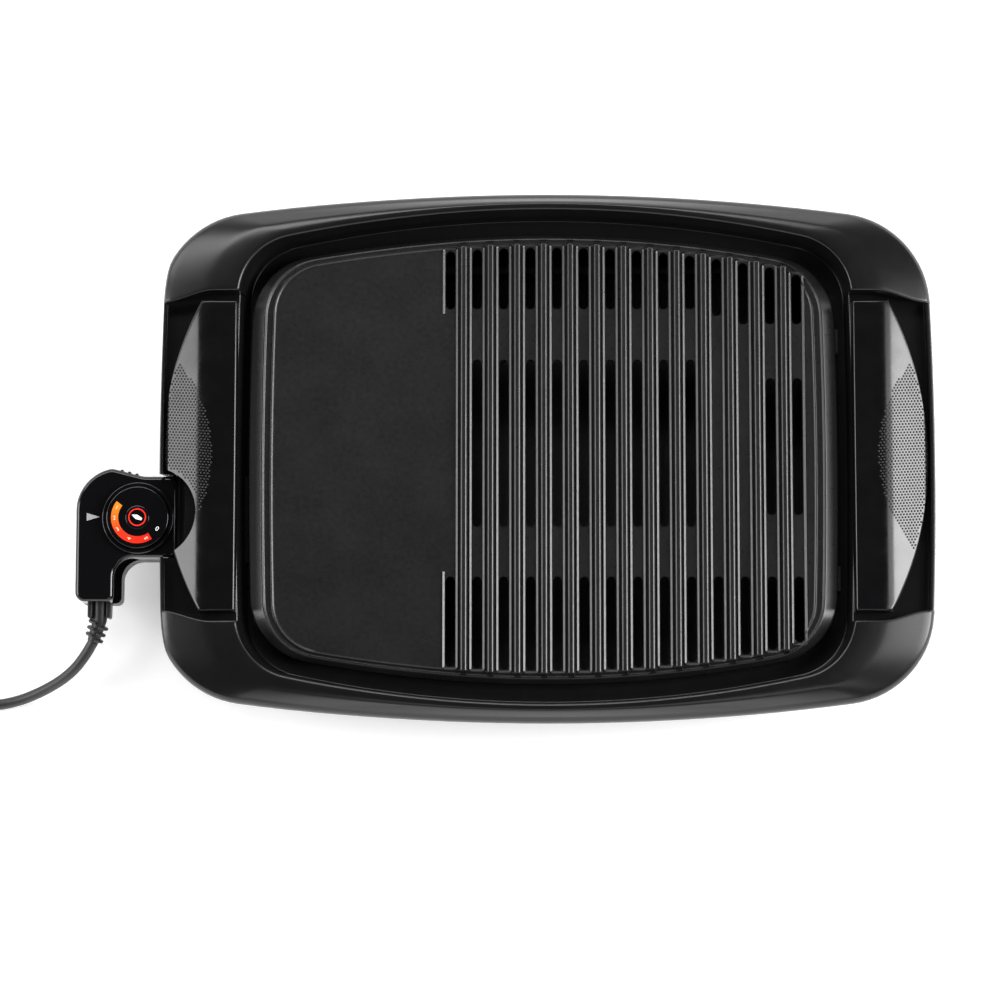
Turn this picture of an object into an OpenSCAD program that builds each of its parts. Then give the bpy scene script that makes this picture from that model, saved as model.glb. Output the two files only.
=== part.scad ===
// Electric griddle with a lift-off ribbed plate, a pull-out drip tray and a plug-in thermostat control.
// X runs along the griddle, Y from front to back and Z up; the table is at z = 0.

/* [Body] */
// Width of the body over its two ends
body_w = 497; // [494:1:500]
// Depth of the body, front to back
body_d = 342; // [340:1:345]
// Height of the rim's crest above the table
rim_z = 76; // [75:0.5:80]
// Radius of the bow of the body's long sides
side_bow_r = 1500; // [1400:10:1650]
// Radius of the body's corners in plan
corner_r = 61; // [58:1:63]
// How far the outer wall leans in on its way down to the base
wall_lean = 13; // [11:0.5:15]

/* [Well] */
// Width of the opening in the rim
well_w = 391; // [389:1:393]
// Depth of the opening in the rim
well_d = 317.5; // [316:0.5:319]
// Radius of the bow of the opening's long sides
well_bow_r = 765; // [740:5:800]
// Radius of the opening's corners
well_corner_r = 39.5; // [38:0.5:42]

/* [Cooking plate] */
// Width of the plate
plate_w = 373; // [371:1:375]
// Depth of the plate
plate_d = 291; // [289:1:293]
// Height of the flat cooking surface above the table
plate_z = 60; // [60:0.5:62]
// Radius of the bow of the plate's long sides
plate_bow_r = 790; // [760:5:820]
// Radius of the plate's corners
plate_corner_r = 44; // [42:1:48]
// Number of columns of drain slots
slot_columns = 14; // [10:1:14]
// Distance from one column of slots to the next
slot_pitch = 17.15; // [16.8:0.05:17.2]
// Width of a drain slot
slot_w = 6.2; // [5:0.1:6.4]
// Height of the ribs above the cooking surface
rib_h = 4; // [3:0.5:5]

/* [Handles] */
// Length of a handle cover along the body's end
handle_len = 200; // [190:2:200]
// Height of a handle's flat top above the table
handle_z = 74; // [73:0.5:75]
// Slope of a handle's outer side, in degrees
handle_slope = 25; // [20:1:27]

/* [Control] */
// Place of the dial along X, from the middle of the griddle
dial_x = -262.5; // [-263:0.5:-262]
// Place of the dial along Y
dial_y = -39; // [-40:0.5:-38]
// Radius of the dial
dial_r = 19.9; // [18:0.1:20]
// Height of the top of the control's housing
control_z = 57; // [56:0.5:57]
// Height of the probe, the contacts and the heating element
axis_z = 42; // [42:0.5:42.5]

/* [Drip tray] */
// Width of the drip tray
tray_w = 344; // [330:2:346]
// Height of the drip tray's rim above the table
tray_z = 35.4; // [30:0.2:35.4]

/* [Cord] */
// Diameter of the mains cord
cord_d = 7; // [6:0.5:7]
// Radius of the coil at the middle of its turns
coil_r = 38.5; // [36:0.5:40]

/* [Hidden] */
$fn = 48;

// Steps along the long side, the corner and the short side of a quarter outline
side_steps = 7;
corner_steps = 8;
end_steps = 3;
end_bow_r = 2350;
base_z = 4;
control_left = dial_x - 40;
control_right = dial_x + 25;
// The frame's origin is under the middle of the griddle and its plugged-in control
centre_x = -(control_left + body_w / 2) / 2;

function arc(c, r, a0, a1, n) = [for (i = [0:n]) let (a = a0 + (a1 - a0) * i / n) c + r * [cos(a), sin(a)]];

// Where two circles cross, on the side away from the origin
function crossing(p, rp, q, rq) =
  let (d = q - p, l = norm(d), a = (rp * rp - rq * rq + l * l) / (2 * l), h = sqrt(rp * rp - a * a))
  p + a * d / l + h * [d.y, -d.x] / l;

// Centre of the corner arc of a bowed rectangle o = [half width, half depth, side bow, end bow, corner]
function corner_centre(o) = crossing([0, o[1] - o[2]], o[2] - o[4], [o[0] - o[3], 0], o[3] - o[4]);

function quarter(o) =
  let (side_c = [0, o[1] - o[2]], end_c = [o[0] - o[3], 0], c = corner_centre(o))
  let (a_end = atan2(c.y, c.x - end_c.x), a_side = atan2(c.y - side_c.y, c.x))
  concat(
    arc(end_c, o[3], 0, a_end, end_steps),
    [for (i = [1:corner_steps]) arc(c, o[4], a_end, a_side, corner_steps)[i]],
    [for (i = [1:side_steps]) arc(side_c, o[2], a_side, 90, side_steps)[i]]
  );

// A whole bowed rectangle, counter-clockwise from +X
function outline(o) =
  let (q = quarter(o), n = len(q) - 1)
  concat(
    [for (i = [0:n]) q[i]],
    [for (i = [1:n]) [-q[n - i].x, q[n - i].y]],
    [for (i = [1:n]) -q[i]],
    [for (i = [1:n - 1]) [q[n - i].x, -q[n - i].y]]
  );

function body(inset) =
  [body_w / 2 - inset, body_d / 2 - inset, side_bow_r - inset, end_bow_r - inset, corner_r - inset];
function well(grow) =
  [well_w / 2 + grow, well_d / 2 + grow, well_bow_r + grow, 4000 + grow, well_corner_r + grow];
function plate(dx, dy) =
  [plate_w / 2 - dx, plate_d / 2 - dy, plate_bow_r - dy, 3000 - dx, plate_corner_r - (dx + dy) / 2];

// Half depth of the plate at x
function plate_edge(x) =
  let (o = plate(0, 0), c = corner_centre(o), t = o[2] * cos(atan2(c.y - o[1] + o[2], c.x)))
  abs(x) < t ? o[1] - o[2] + sqrt(o[2] * o[2] - x * x) : c.y + sqrt(o[4] * o[4] - pow(abs(x) - c.x, 2));

// A ring-shaped solid lofted through levels of [outline, z], closed round its section
module loft_ring(levels) {
  n = len(outline(levels[0][0]));
  m = len(levels);
  points = [for (l = levels) for (p = outline(l[0])) [p.x, p.y, l[1]]];
  faces = [
    for (k = [0:m - 1])
      for (i = [0:n - 1])
        let (a = k * n + i, b = k * n + (i + 1) % n, c = (k + 1) % m * n + (i + 1) % n, d = (k + 1) % m * n + i)
          for (f = [[a, b, c], [a, c, d]]) f
  ];
  polyhedron(points, faces, convexity = 10);
}

// A full solid lofted through levels of [outline, z], from the top one down
module loft_solid(levels) {
  n = len(outline(levels[0][0]));
  m = len(levels);
  points = [for (l = levels) for (p = outline(l[0])) [p.x, p.y, l[1]]];
  sides = [
    for (k = [0:m - 2])
      for (i = [0:n - 1])
        let (a = k * n + i, b = k * n + (i + 1) % n, c = (k + 1) * n + (i + 1) % n, d = (k + 1) * n + i)
          for (f = [[a, b, c], [a, c, d]]) f
  ];
  caps = [[for (i = [n - 1:-1:0]) i], [for (i = [0:n - 1]) (m - 1) * n + i]];
  polyhedron(points, concat(sides, caps), convexity = 4);
}

module slab(o, z0, z1) {
  translate([0, 0, z0]) linear_extrude(z1 - z0) polygon(outline(o));
}

module block(low, high) {
  translate(low) cube(high - low);
}

// A cylinder along +X from x0 to x1
module rod_x(x0, x1, y, z, r) {
  translate([x0, y, z]) rotate([0, 90, 0]) cylinder(h = x1 - x0, r = r);
}

module disc(x, y, z0, z1, r) {
  translate([x, y, z0]) cylinder(h = z1 - z0, r = r);
}

module griddle() {
  translate([centre_x, 0, 0]) children();
}

module both_ends() {
  children();
  mirror([1, 0, 0]) children();
}

// A flat path through corner points, its corners rounded to radius r, swept with a 2D section
module sweep_route(points, r) {
  last = len(points) - 1;
  turns = [
    for (i = [0:last])
      i == 0 || i == last ? 0
      : let (u = points[i] - points[i - 1], v = points[i + 1] - points[i])
        atan2(u.x * v.y - u.y * v.x, u * v)
  ];
  for (i = [0:last - 1]) {
    d = points[i + 1] - points[i];
    skip = r * tan(abs(turns[i]) / 2);
    length = norm(d) - skip - r * tan(abs(turns[i + 1]) / 2);
    start = points[i] + d / norm(d) * skip;
    translate(start) rotate(atan2(d.y, d.x)) rotate([90, 0, 90]) linear_extrude(length) children();
  }
  for (i = [1:last - 1]) {
    u = (points[i] - points[i - 1]) / norm(points[i] - points[i - 1]);
    side = sign(turns[i]);
    centre = points[i] - u * r * tan(abs(turns[i]) / 2) + side * r * [-u.y, u.x];
    first = atan2(u.y, u.x) - side * 90;
    translate(centre) rotate(side > 0 ? first : first + turns[i])
      rotate_extrude(angle = abs(turns[i])) translate([r, 0]) children();
  }
}

// A screw along +Z with its head's underside at the origin
module screw(length, head_r, shaft_r, head_h = 2.2) {
  difference() {
    translate([0, 0, -head_h]) cylinder(h = head_h, r = head_r);
    for (a = [0, 90]) rotate(a) translate([-head_r * 0.6, -0.4, -head_h - 1]) cube([head_r * 1.2, 0.8, 2.2]);
  }
  cylinder(h = length, r = shaft_r);
}

// ---------------------------------------------------------------- body

flange_z = 47;
panel_z = 58.5;
panel_t = 3;
// Notch in the well's ledge for the element's legs and the probe, and how far the roof over it reaches
notch_y = [dial_y - 26, dial_y + 26];
roof_x = -182.5;

shell_levels = [
  [well(-18.5), flange_z],
  [well(-2.5), flange_z],
  [well(0), rim_z - 1.5],
  [well(1.2), rim_z],
  [well(3.5), rim_z],
  [body(3.5), rim_z - 7],
  [body(0), rim_z - 13],
  [body(1.5), rim_z - 20],
  [body(wall_lean), base_z],
  [body(wall_lean + 2.6), base_z],
  [body(4.4), rim_z - 19],
  [body(6), rim_z - 12],
  [well(3), rim_z - 4],
  [well(0.3), flange_z - 2.5],
  [well(-18.5), flange_z - 2.5]
];
rim_levels = [
  [well(0.5), panel_z - panel_t],
  [well(0.5), rim_z - 1.5],
  [well(1.2), rim_z],
  [well(3.5), rim_z],
  [body(3.5), rim_z - 7],
  [body(0), rim_z - 13],
  [body(1.5), rim_z - 20],
  [body(2), panel_z - panel_t]
];
outer_levels = [
  [body(0), rim_z - 13],
  [body(1.5), rim_z - 20],
  [body(wall_lean), base_z]
];

// Screw columns that hold the bottom cover
columns = [[212, 110], [212, -110], [-212, 110], [-212, -110], [213, 0], [-213, 35]];
handle_screw_y = [-78, 78];
handle_screw_x = 207;
// Straps run under ribs, out of sight of the slots
bracket_x = [-53.8, 49.1];
bracket_y = 147;
strap_w = 10;
// Gap between a handle cover's end and the rim
pocket_gap = 7.7;

module end_panels() {
  intersection() {
    difference() {
      slab(body(2), panel_z - panel_t, panel_z);
      slab(well(0.5), panel_z - 10, panel_z + 10);
    }
    y = handle_len / 2 + pocket_gap + 2;
    block([-body_w, -y, 0], [body_w, y, rim_z]);
  }
}

module end_walls() {
  intersection() {
    loft_ring(rim_levels);
    for (s = [-1, 1]) {
      y = s * (handle_len / 2 + pocket_gap + 1.5);
      block([-body_w, y - 1.5, 0], [-well_w / 2, y + 1.5, 2 * rim_z]);
      block([well_w / 2, y - 1.5, 0], [body_w, y + 1.5, 2 * rim_z]);
    }
  }
}

// Pocket in the left end that the control plugs into
module inlet_box() {
  intersection() {
    difference() {
      block([-260, dial_y - 32, 17], [-226, dial_y + 32, panel_z - 1]);
      block([-270, dial_y - 29, 19], [-229, dial_y + 29, 80]);
    }
    loft_solid(outer_levels);
  }
}

module base_shell() {
  color([0.05, 0.05, 0.055]) griddle() difference() {
    union() {
      loft_ring(shell_levels);
      end_panels();
      end_walls();
      inlet_box();
      block([-196, notch_y[0] - 2, flange_z - 0.7], [roof_x, notch_y[1] + 2, flange_z + 1.9]);
      for (c = columns) disc(c.x, c.y, 7, abs(c.y) > 100 ? rim_z - 5 : panel_z - 1, 4.5);
    }
    for (s = [-1, 1])
      translate([s * 230 - 50, -handle_len / 2 - pocket_gap, panel_z])
        cube([100, handle_len + 2 * pocket_gap, 40]);
    block([-270, dial_y - 29, 19], [-229, dial_y + 29, 80]);
    block([-240, dial_y - 25.2, axis_z - 13.2], [-220, dial_y + 25.2, axis_z + 13.2]);
    block([-201, notch_y[0], 30], [-170, notch_y[1], flange_z - 0.7]);
    block([roof_x, notch_y[0], 30], [-170, notch_y[1], flange_z + 5]);
    block([-tray_w / 2 - 6.6, -200, 9.4], [tray_w / 2 + 6.6, -130, 38.4]);
    for (c = columns) disc(c.x, c.y, 0, 24, 1.5);
    both_ends() for (y = handle_screw_y) disc(handle_screw_x, y, 50, 60, 1.9);
    for (x = bracket_x) for (s = [-1, 1]) disc(x, s * bracket_y, 40, flange_z + 1, 1.5);
  }
}

module bottom_cover() {
  color([0.06, 0.06, 0.065]) griddle() difference() {
    slab(body(wall_lean + 3), base_z, 7);
    for (c = columns) disc(c.x, c.y, 0, 10, 1.7);
    for (p = foot_places) disc(p.x, p.y, 0, 10, 4);
    for (i = [-6:6]) block([i * 22 - 3, 60, 0], [i * 22 + 3, 110, 10]);
  }
}

foot_places = [for (x = [-178, 178]) for (y = [-116, 116]) [x, y]];

module rubber_feet() {
  color([0.12, 0.12, 0.12]) griddle() for (p = foot_places) {
    disc(p.x, p.y, 0, base_z, 12);
    disc(p.x, p.y, base_z - 1, 7, 4);
  }
}

module cover_screws() {
  color([0.6, 0.6, 0.62]) griddle() for (c = columns) translate([c.x, c.y, base_z]) screw(16, 3.2, 1.5);
}

module heat_shield() {
  color([0.7, 0.7, 0.72]) griddle() difference() {
    block([-157, -130, 7.1], [157, 124, 9.6]);
    block([-156.2, -129.2, 7.9], [156.2, 123.2, 12]);
  }
}

module tray_guides() {
  color([0.1, 0.1, 0.1]) griddle() both_ends() {
    block([158, -134, 7], [175.4, 128, 10.2]);
    block([173.6, -134, 10.2], [175.4, 128, 17]);
  }
}

module plate_rests() {
  color([0.04, 0.04, 0.04]) griddle() for (x = [-184, 184]) for (y = [-77, 77])
    block([x - 4, y - 8, flange_z], [x + 4, y + 8, flange_z + 2.5]);
}

// ---------------------------------------------------------------- handles

handle_in = well_w / 2;
handle_out = 245;
handle_flat = 218.5;
handle_bow_r = (pow(handle_len / 2, 2) + pow(handle_out - handle_flat, 2)) / (2 * (handle_out - handle_flat));

// A handle's outer form, or the same form made smaller by g
module handle_form(g) {
  difference() {
    translate([0, 0, panel_z - (g > 0 ? 1 : 0)]) linear_extrude(handle_z - panel_z - g + (g > 0 ? 1 : 0))
      intersection() {
        translate([handle_in + g, -handle_len / 2 + g]) square([80, handle_len - 2 * g]);
        translate([handle_out - handle_bow_r, 0]) circle(r = handle_bow_r - g, $fn = 180);
      }
    translate([handle_flat, 0, handle_z - g]) rotate([0, handle_slope, 0])
      translate([0, -handle_len, 0]) cube([80, 2 * handle_len, 40]);
  }
}

module handle() {
  difference() {
    union() {
      difference() {
        handle_form(0);
        handle_form(2.4);
      }
      for (y = handle_screw_y) disc(handle_screw_x, y, panel_z, handle_z - 1, 4.2);
    }
    for (y = handle_screw_y) disc(handle_screw_x, y, panel_z - 1, panel_z + 11, 1.5);
  }
}

module right_handle() {
  color([0.03, 0.03, 0.035]) griddle() handle();
}

// The left handle has a round bay over the control
bay = [-253.5, -36];
bay_r = 29;

module left_handle() {
  color([0.03, 0.03, 0.035]) griddle() difference() {
    union() {
      mirror([1, 0, 0]) handle();
      intersection() {
        mirror([1, 0, 0]) handle_form(0);
        disc(bay.x, bay.y, panel_z, rim_z, bay_r + 2.4);
      }
    }
    disc(bay.x, bay.y, panel_z - 1, rim_z + 1, bay_r);
  }
}

module handle_screws() {
  color([0.6, 0.6, 0.62]) griddle() both_ends() for (y = handle_screw_y)
    translate([handle_screw_x, y, panel_z - panel_t]) screw(13, 3.2, 1.5);
}

// ---------------------------------------------------------------- heating

leg_gap = 13;
element_r = 3.5;
clip_y = [80, dial_y - leg_gap];
element_route = [
  [-189, dial_y + leg_gap], [-140, dial_y + leg_gap], [-140, clip_y[0]],
  [117.6, clip_y[0]], [117.6, clip_y[1]], [-189, clip_y[1]]
];
bed_route = [[-140, 0], [-140, clip_y[0]], [117.6, clip_y[0]], [117.6, clip_y[1]], [-140, clip_y[1]]];

module heating_element() {
  color([0.45, 0.43, 0.4]) griddle() translate([0, 0, axis_z]) sweep_route(element_route, 15) circle(r = element_r);
}

module element_seals() {
  color([0.9, 0.88, 0.82]) griddle() for (s = [-1, 1]) rod_x(-194, -189, dial_y + s * leg_gap, axis_z, 4);
}

// Two steel straps under the element, hung from the well's ledge
module element_brackets() {
  low = axis_z - 5.8;
  color([0.72, 0.72, 0.74]) griddle() for (x = bracket_x) {
    block([x - strap_w / 2, -141, low], [x + strap_w / 2, 141, low + 1.2]);
    for (s = [-1, 1]) difference() {
      union() {
        translate([x - strap_w / 2, s * 140.4 - 0.6, low]) cube([strap_w, 1.2, flange_z - 2.6 - low]);
        translate([x - strap_w / 2, s * 146.4 - 6.6, flange_z - 3.8]) cube([strap_w, 13.2, 1.2]);
      }
      disc(x, s * bracket_y, 40, 50, 1.6);
    }
  }
}

module element_clips() {
  color([0.75, 0.75, 0.77]) griddle() for (x = bracket_x) for (y = clip_y) difference() {
    rod_x(x - 4, x + 4, y, axis_z, 4.6);
    rod_x(x - 5, x + 5, y, axis_z, 3.55);
  }
}

module bracket_screws() {
  color([0.6, 0.6, 0.62]) griddle() for (x = bracket_x) for (s = [-1, 1])
    translate([x, s * bracket_y, flange_z - 3.8]) screw(3.6, 2.8, 1.5, 1.8);
}

module inlet_shroud() {
  color([0.75, 0.75, 0.76]) griddle() difference() {
    block([-231.8, dial_y - 25, axis_z - 13], [-199, dial_y + 25, axis_z + 13]);
    block([-240, dial_y - 22.5, axis_z - 10.5], [-190, dial_y + 22.5, axis_z + 10.5]);
  }
}

module terminal_block() {
  color([0.88, 0.86, 0.8]) griddle() difference() {
    block([-220, dial_y - 22.5, axis_z - 10.5], [-199, dial_y + 22.5, axis_z + 10.5]);
    rod_x(-230, -190, dial_y, axis_z, 4);
    for (s = [-1, 1]) rod_x(-230, -190, dial_y + s * leg_gap, axis_z, 2.5);
    block([-230, dial_y - 3, axis_z - 8], [-212, dial_y + 3, axis_z - 6.5]);
  }
}

module contact_pins() {
  color([0.8, 0.78, 0.72]) griddle() for (s = [-1, 1]) rod_x(-247, -194, dial_y + s * leg_gap, axis_z, 2.5);
}

module earth_pin() {
  color([0.8, 0.65, 0.3]) griddle() block([-237, dial_y - 3, axis_z - 8], [-212, dial_y + 3, axis_z - 6.5]);
}

// ---------------------------------------------------------------- cooking plate

plate_t = 5;
skirt_z = flange_z + 2.6;
// Rows of drain slots: y of their back end and front end, or 0 where the plate's own curve ends them
function back_end(i) = i < 10 ? 96.3 : i == 10 ? 92 : 86.5;
function slot_rows(i) =
  let (edge = plate_edge(slot_x(i)) - 8.5)
  concat(
    [[back_end(i), edge], [-edge, -76.7]],
    i > 0 && i < 10 ? [[-44.9, 63.6]] : [],
    i > 11 ? [[-37.3, 51.5]] : []
  );
function slot_x(i) = -62.4 + slot_pitch * i;

module slot_shape(x, y0, y1, r) {
  translate([x - r, y0 + slot_w / 2]) square([2 * r, y1 - y0 - slot_w]);
  translate([x, y0 + slot_w / 2]) circle(r = r, $fn = 24);
  translate([x, y1 - slot_w / 2]) circle(r = r, $fn = 24);
}

module slots(grow) {
  for (i = [0:slot_columns - 1]) for (row = slot_rows(i)) slot_shape(slot_x(i), row[0], row[1], slot_w / 2 + grow);
}

module rib(x) {
  half = plate_edge(x) - 5;
  translate([x, half, plate_z - 0.01]) rotate([90, 0, 0]) linear_extrude(2 * half)
    polygon([[-4.4, 0], [-2.1, rib_h], [2.1, rib_h], [4.4, 0]]);
}

module raised_line(dx, dy, w, h) {
  difference() {
    slab(plate(dx, dy), plate_z - 1, plate_z + h);
    slab(plate(dx + w, dy + w), plate_z - 2, plate_z + h + 1);
  }
}

// Section of the pads under the plate that press on the element, with the groove for it
module bed_section() {
  difference() {
    translate([-6.5, axis_z]) square([13, plate_z - plate_t - axis_z + 1]);
    translate([-4, axis_z - 1]) square([8, 5]);
  }
}

module cooking_plate() {
  color([0.09, 0.09, 0.095]) griddle() difference() {
    union() {
      slab(plate(0, 0), plate_z - plate_t, plate_z);
      difference() {
        slab(plate(0, 0), skirt_z, plate_z - 1);
        slab(plate(3, 3), skirt_z - 1, plate_z - plate_t);
      }
      raised_line(8, 3, 1.2, 1);
      raised_line(13.5, 6, 1.2, 1);
      for (i = [0:slot_columns - 2]) rib(slot_x(i) + slot_pitch / 2);
      translate([0, 0, plate_z - 1]) linear_extrude(1.7) slots(1);
      sweep_route(bed_route, 15) bed_section();
      sweep_route([[-181, dial_y], [-148, dial_y]], 1) bed_section();
    }
    translate([0, 0, 20]) linear_extrude(60) slots(0);
    for (x = bracket_x) for (y = clip_y) block([x - 6, y - 12, 30], [x + 6, y + 12, axis_z + 6]);
  }
}

// ---------------------------------------------------------------- drip tray

tray_floor = 10.4;
tray_back = 126;
tray_front_y = -141;
tray_mid = (tray_back + tray_front_y) / 2;

function tray(grow) =
  [tray_w / 2 + grow, (tray_back - tray_front_y) / 2 + grow, 60000, 60000, 18 + grow];

module drip_tray() {
  color([0.55, 0.55, 0.57]) griddle() translate([0, tray_mid, 0]) difference() {
    union() {
      slab(tray(0), tray_floor, tray_z);
      intersection() {
        slab(tray(2.5), tray_z - 1.2, tray_z);
        block([-tray_w, -(tray_back - tray_front_y) / 2, 0], [tray_w, 200, 50]);
      }
    }
    slab(tray(-1.4), tray_floor + 1.4, tray_z + 1);
    for (x = [-65, 65]) translate([x, -130, 22]) rotate([90, 0, 0]) cylinder(h = 10, r = 2.1);
  }
}

module tray_front() {
  color([0.05, 0.05, 0.055]) griddle() {
    intersection() {
      difference() {
        slab(body(10.5), 9.9, 37.9);
        slab(body(13.5), 0, 50);
      }
      block([-tray_w / 2 - 6, -body_d, 0], [tray_w / 2 + 6, 0, 60]);
    }
    difference() {
      union() for (x = [-65, 65]) block([x - 6, 12.6 - body_d / 2, 14], [x + 6, tray_front_y - 0.1, 30]);
      for (x = [-65, 65]) translate([x, -130, 22]) rotate([90, 0, 0]) cylinder(h = 22, r = 2);
    }
    intersection() {
      difference() {
        slab(body(3.5), 29, 33);
        slab(body(12), 0, 50);
      }
      block([-60, -body_d, 0], [60, 0, 60]);
    }
  }
}

module tray_rivets() {
  color([0.7, 0.7, 0.72]) griddle() for (x = [-65, 65]) {
    translate([x, -137.9, 22]) rotate([90, 0, 0]) cylinder(h = 14, r = 2);
    translate([x, -137.9, 22]) rotate([90, 0, 0]) cylinder(h = 1.6, r = 3.4);
  }
}

// ---------------------------------------------------------------- control

control_floor = 21;
split_z = 40;
shell_t = 2.2;
entry = [control_left + 14, 36];
leg_end = dial_y - 53.3;
pillars = [[-294, -24], [-262, -58.5], [-296, -62]];

// Plan of the control's housing, made smaller by g; the leg's inner side is at leg_x
function control_outline(g, leg_x) =
  let (y0 = dial_y - 24.9, y1 = dial_y + 27.3, big = 27.2)
  concat(
    arc([control_right - 4, y0 + 4], 4 - g, -90, 0, 4),
    arc([control_right - 4, y1 - 4], 4 - g, 0, 90, 4),
    arc([control_left + 45.5, y1 + 20], 20 + g, 270, 255.3, 2),
    arc([control_left + 22.7, y1 - 3], 8 - g, 75.3, 103.5, 2),
    arc([control_left + big, y1 - 21.65], big - g, 103.5, 180, 8),
    arc([control_left + 6, leg_end + 6], 6 - g, 180, 270, 5),
    arc([leg_x - 4, leg_end + 4], 4 - g, -90, 0, 4),
    arc([leg_x + 13, y0 - 13], 13 + g, 180, 90, 6)
  );

module control_prism(g, leg_x, z0, z1) {
  translate([0, 0, z0]) linear_extrude(z1 - z0) polygon(control_outline(g, leg_x));
}

module control_openings() {
  block([control_right - 6, dial_y - 21.4, axis_z - 11], [control_right + 6, dial_y + 21.4, axis_z + 11]);
  translate([entry[0], leg_end + 5, entry[1]]) rotate([90, 0, 0]) cylinder(h = 12, r = 4.5);
}

module control_top() {
  color([0.02, 0.02, 0.024]) griddle() difference() {
    union() {
      difference() {
        control_prism(0, dial_x - 15.4, split_z, control_z);
        control_prism(shell_t, dial_x - 15.4, split_z - 1, control_z - shell_t);
      }
      for (i = [0:2]) disc(dial_x - 1.5 - 4.75 * i, dial_y + 28.2 + 1.25 * i, split_z, control_z - 1.5, 1.2);
      for (p = pillars) disc(p.x, p.y, split_z, control_z - 1, 3.4);
    }
    disc(dial_x, dial_y, split_z, control_z + 1, 5);
    for (p = pillars) disc(p.x, p.y, split_z - 1, split_z + 12, 1.25);
    control_openings();
  }
}

module control_bottom() {
  color([0.02, 0.02, 0.024]) griddle() difference() {
    union() {
      difference() {
        control_prism(0, dial_x - 11.8, control_floor, split_z);
        control_prism(shell_t, dial_x - 11.8, control_floor + shell_t, split_z + 1);
      }
      for (p = pillars) disc(p.x, p.y, control_floor + 1, split_z, 3.4);
    }
    for (p = pillars) {
      disc(p.x, p.y, control_floor - 1, split_z + 1, 1.6);
      disc(p.x, p.y, control_floor - 1, control_floor + 2.4, 2.8);
    }
    control_openings();
  }
}

module control_screws() {
  color([0.6, 0.6, 0.62]) griddle() for (p = pillars)
    translate([p.x, p.y, control_floor + 2.4]) screw(26, 2.7, 1.25, 1.8);
}

module control_collar() {
  color([0.02, 0.02, 0.024]) griddle() difference() {
    union() {
      block([control_right, dial_y - 24.2, 22], [control_right + 2, dial_y + 26.6, control_z - 1]);
      block([control_right + 2, dial_y - 23.2, 23], [control_right + 3, dial_y + 25.6, control_z - 2]);
      block([control_right + 3, dial_y - 24.2, 22], [control_right + 5, dial_y + 26.6, control_z - 1]);
    }
    block([control_right - 1, dial_y - 21.2, axis_z - 10.2], [control_right + 6, dial_y + 21.2, axis_z + 10.2]);
  }
}

module socket_block() {
  color([0.85, 0.82, 0.75]) griddle() difference() {
    block([-253, dial_y - 21, axis_z - 10], [-223, dial_y + 21, axis_z + 10]);
    for (s = [-1, 1]) rod_x(-251, -220, dial_y + s * leg_gap, axis_z, 3.5);
    rod_x(-260, -220, dial_y, axis_z, 3);
    block([-243, dial_y - 4, axis_z - 11], [-220, dial_y + 4, axis_z - 5]);
  }
}

module socket_sleeves() {
  color([0.85, 0.7, 0.35]) griddle() for (s = [-1, 1]) difference() {
    rod_x(-251, -225, dial_y + s * leg_gap, axis_z, 3.5);
    rod_x(-249, -220, dial_y + s * leg_gap, axis_z, 2.8);
  }
}

module earth_blade() {
  color([0.85, 0.7, 0.35]) griddle() {
    block([-242, dial_y - 3, axis_z - 6.2], [-225, dial_y + 3, axis_z - 5.2]);
    block([-243, dial_y - 3, axis_z - 12], [-242, dial_y + 3, axis_z - 5.2]);
    block([-243, dial_y - 15, axis_z - 12], [-242, dial_y - 3, axis_z - 10.4]);
  }
}

module probe_rod() {
  color([0.75, 0.75, 0.77]) griddle() {
    rod_x(-255, -152, dial_y, axis_z, 3);
    translate([-152, dial_y, axis_z]) sphere(r = 3);
  }
}

module thermostat_switch() {
  color([0.4, 0.2, 0.12]) griddle() {
    block([-277, dial_y - 11, control_floor + 2.3], [-255.4, dial_y + 11, 41]);
    block([-270, dial_y - 6, 41], [-256, dial_y + 6, 45.5]);
  }
}

module spindle_bush() {
  color([0.85, 0.7, 0.35]) griddle() difference() {
    disc(dial_x, dial_y, control_z - 7, control_z, 5);
    disc(dial_x, dial_y, control_z - 8, control_z + 1, 3.05);
  }
}

module dial_bezel() {
  color([0.03, 0.03, 0.035]) griddle() difference() {
    disc(dial_x, dial_y, control_z, control_z + 3, 23);
    disc(dial_x, dial_y, control_z - 1, control_z + 4, 20.5);
  }
}

module arrow_mark() {
  color([0.6, 0.6, 0.6]) griddle() translate([0, 0, control_z]) linear_extrude(0.3)
    polygon([[dial_x - 33, dial_y - 1.6], [dial_x - 24.6, dial_y + 0.9], [dial_x - 33, dial_y + 3.4]]);
}

module lead_wires() {
  color([0.5, 0.25, 0.1]) griddle() {
    translate([0, 0, 34]) sweep_route([[-289.8, -89.8], [-289.8, dial_y - 1], [-277.1, dial_y - 1]], 5) circle(r = 1);
    translate([0, 0, 42]) sweep_route([[-286.4, -89.8], [-286.4, -52.4], [-253.1, -52.4]], 5) circle(r = 1);
    translate([0, 0, 30.6]) sweep_route([[-283, -89.8], [-283, -52.4], [-243.1, -52.4]], 5) circle(r = 1);
  }
}

module strain_relief() {
  color([0.03, 0.03, 0.035]) griddle() {
    translate([entry[0], leg_end + 2.4, entry[1]]) rotate([90, 0, 0]) cylinder(h = 6, r = 4.4);
    block([entry[0] - 7.5, leg_end - 10, entry[1] - 6], [entry[0] + 7.5, leg_end, entry[1] + 6]);
    translate([entry[0], leg_end - 10, entry[1]]) rotate([100, 0, -18]) {
      translate([0, 0, -1]) cylinder(h = 16, r1 = 5, r2 = 3.8);
      for (i = [0:3]) translate([0, 0, 2.2 + 3.4 * i]) cylinder(h = 1.6, r = 6.6 - 0.6 * i);
    }
  }
}

// ---------------------------------------------------------------- dial

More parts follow.
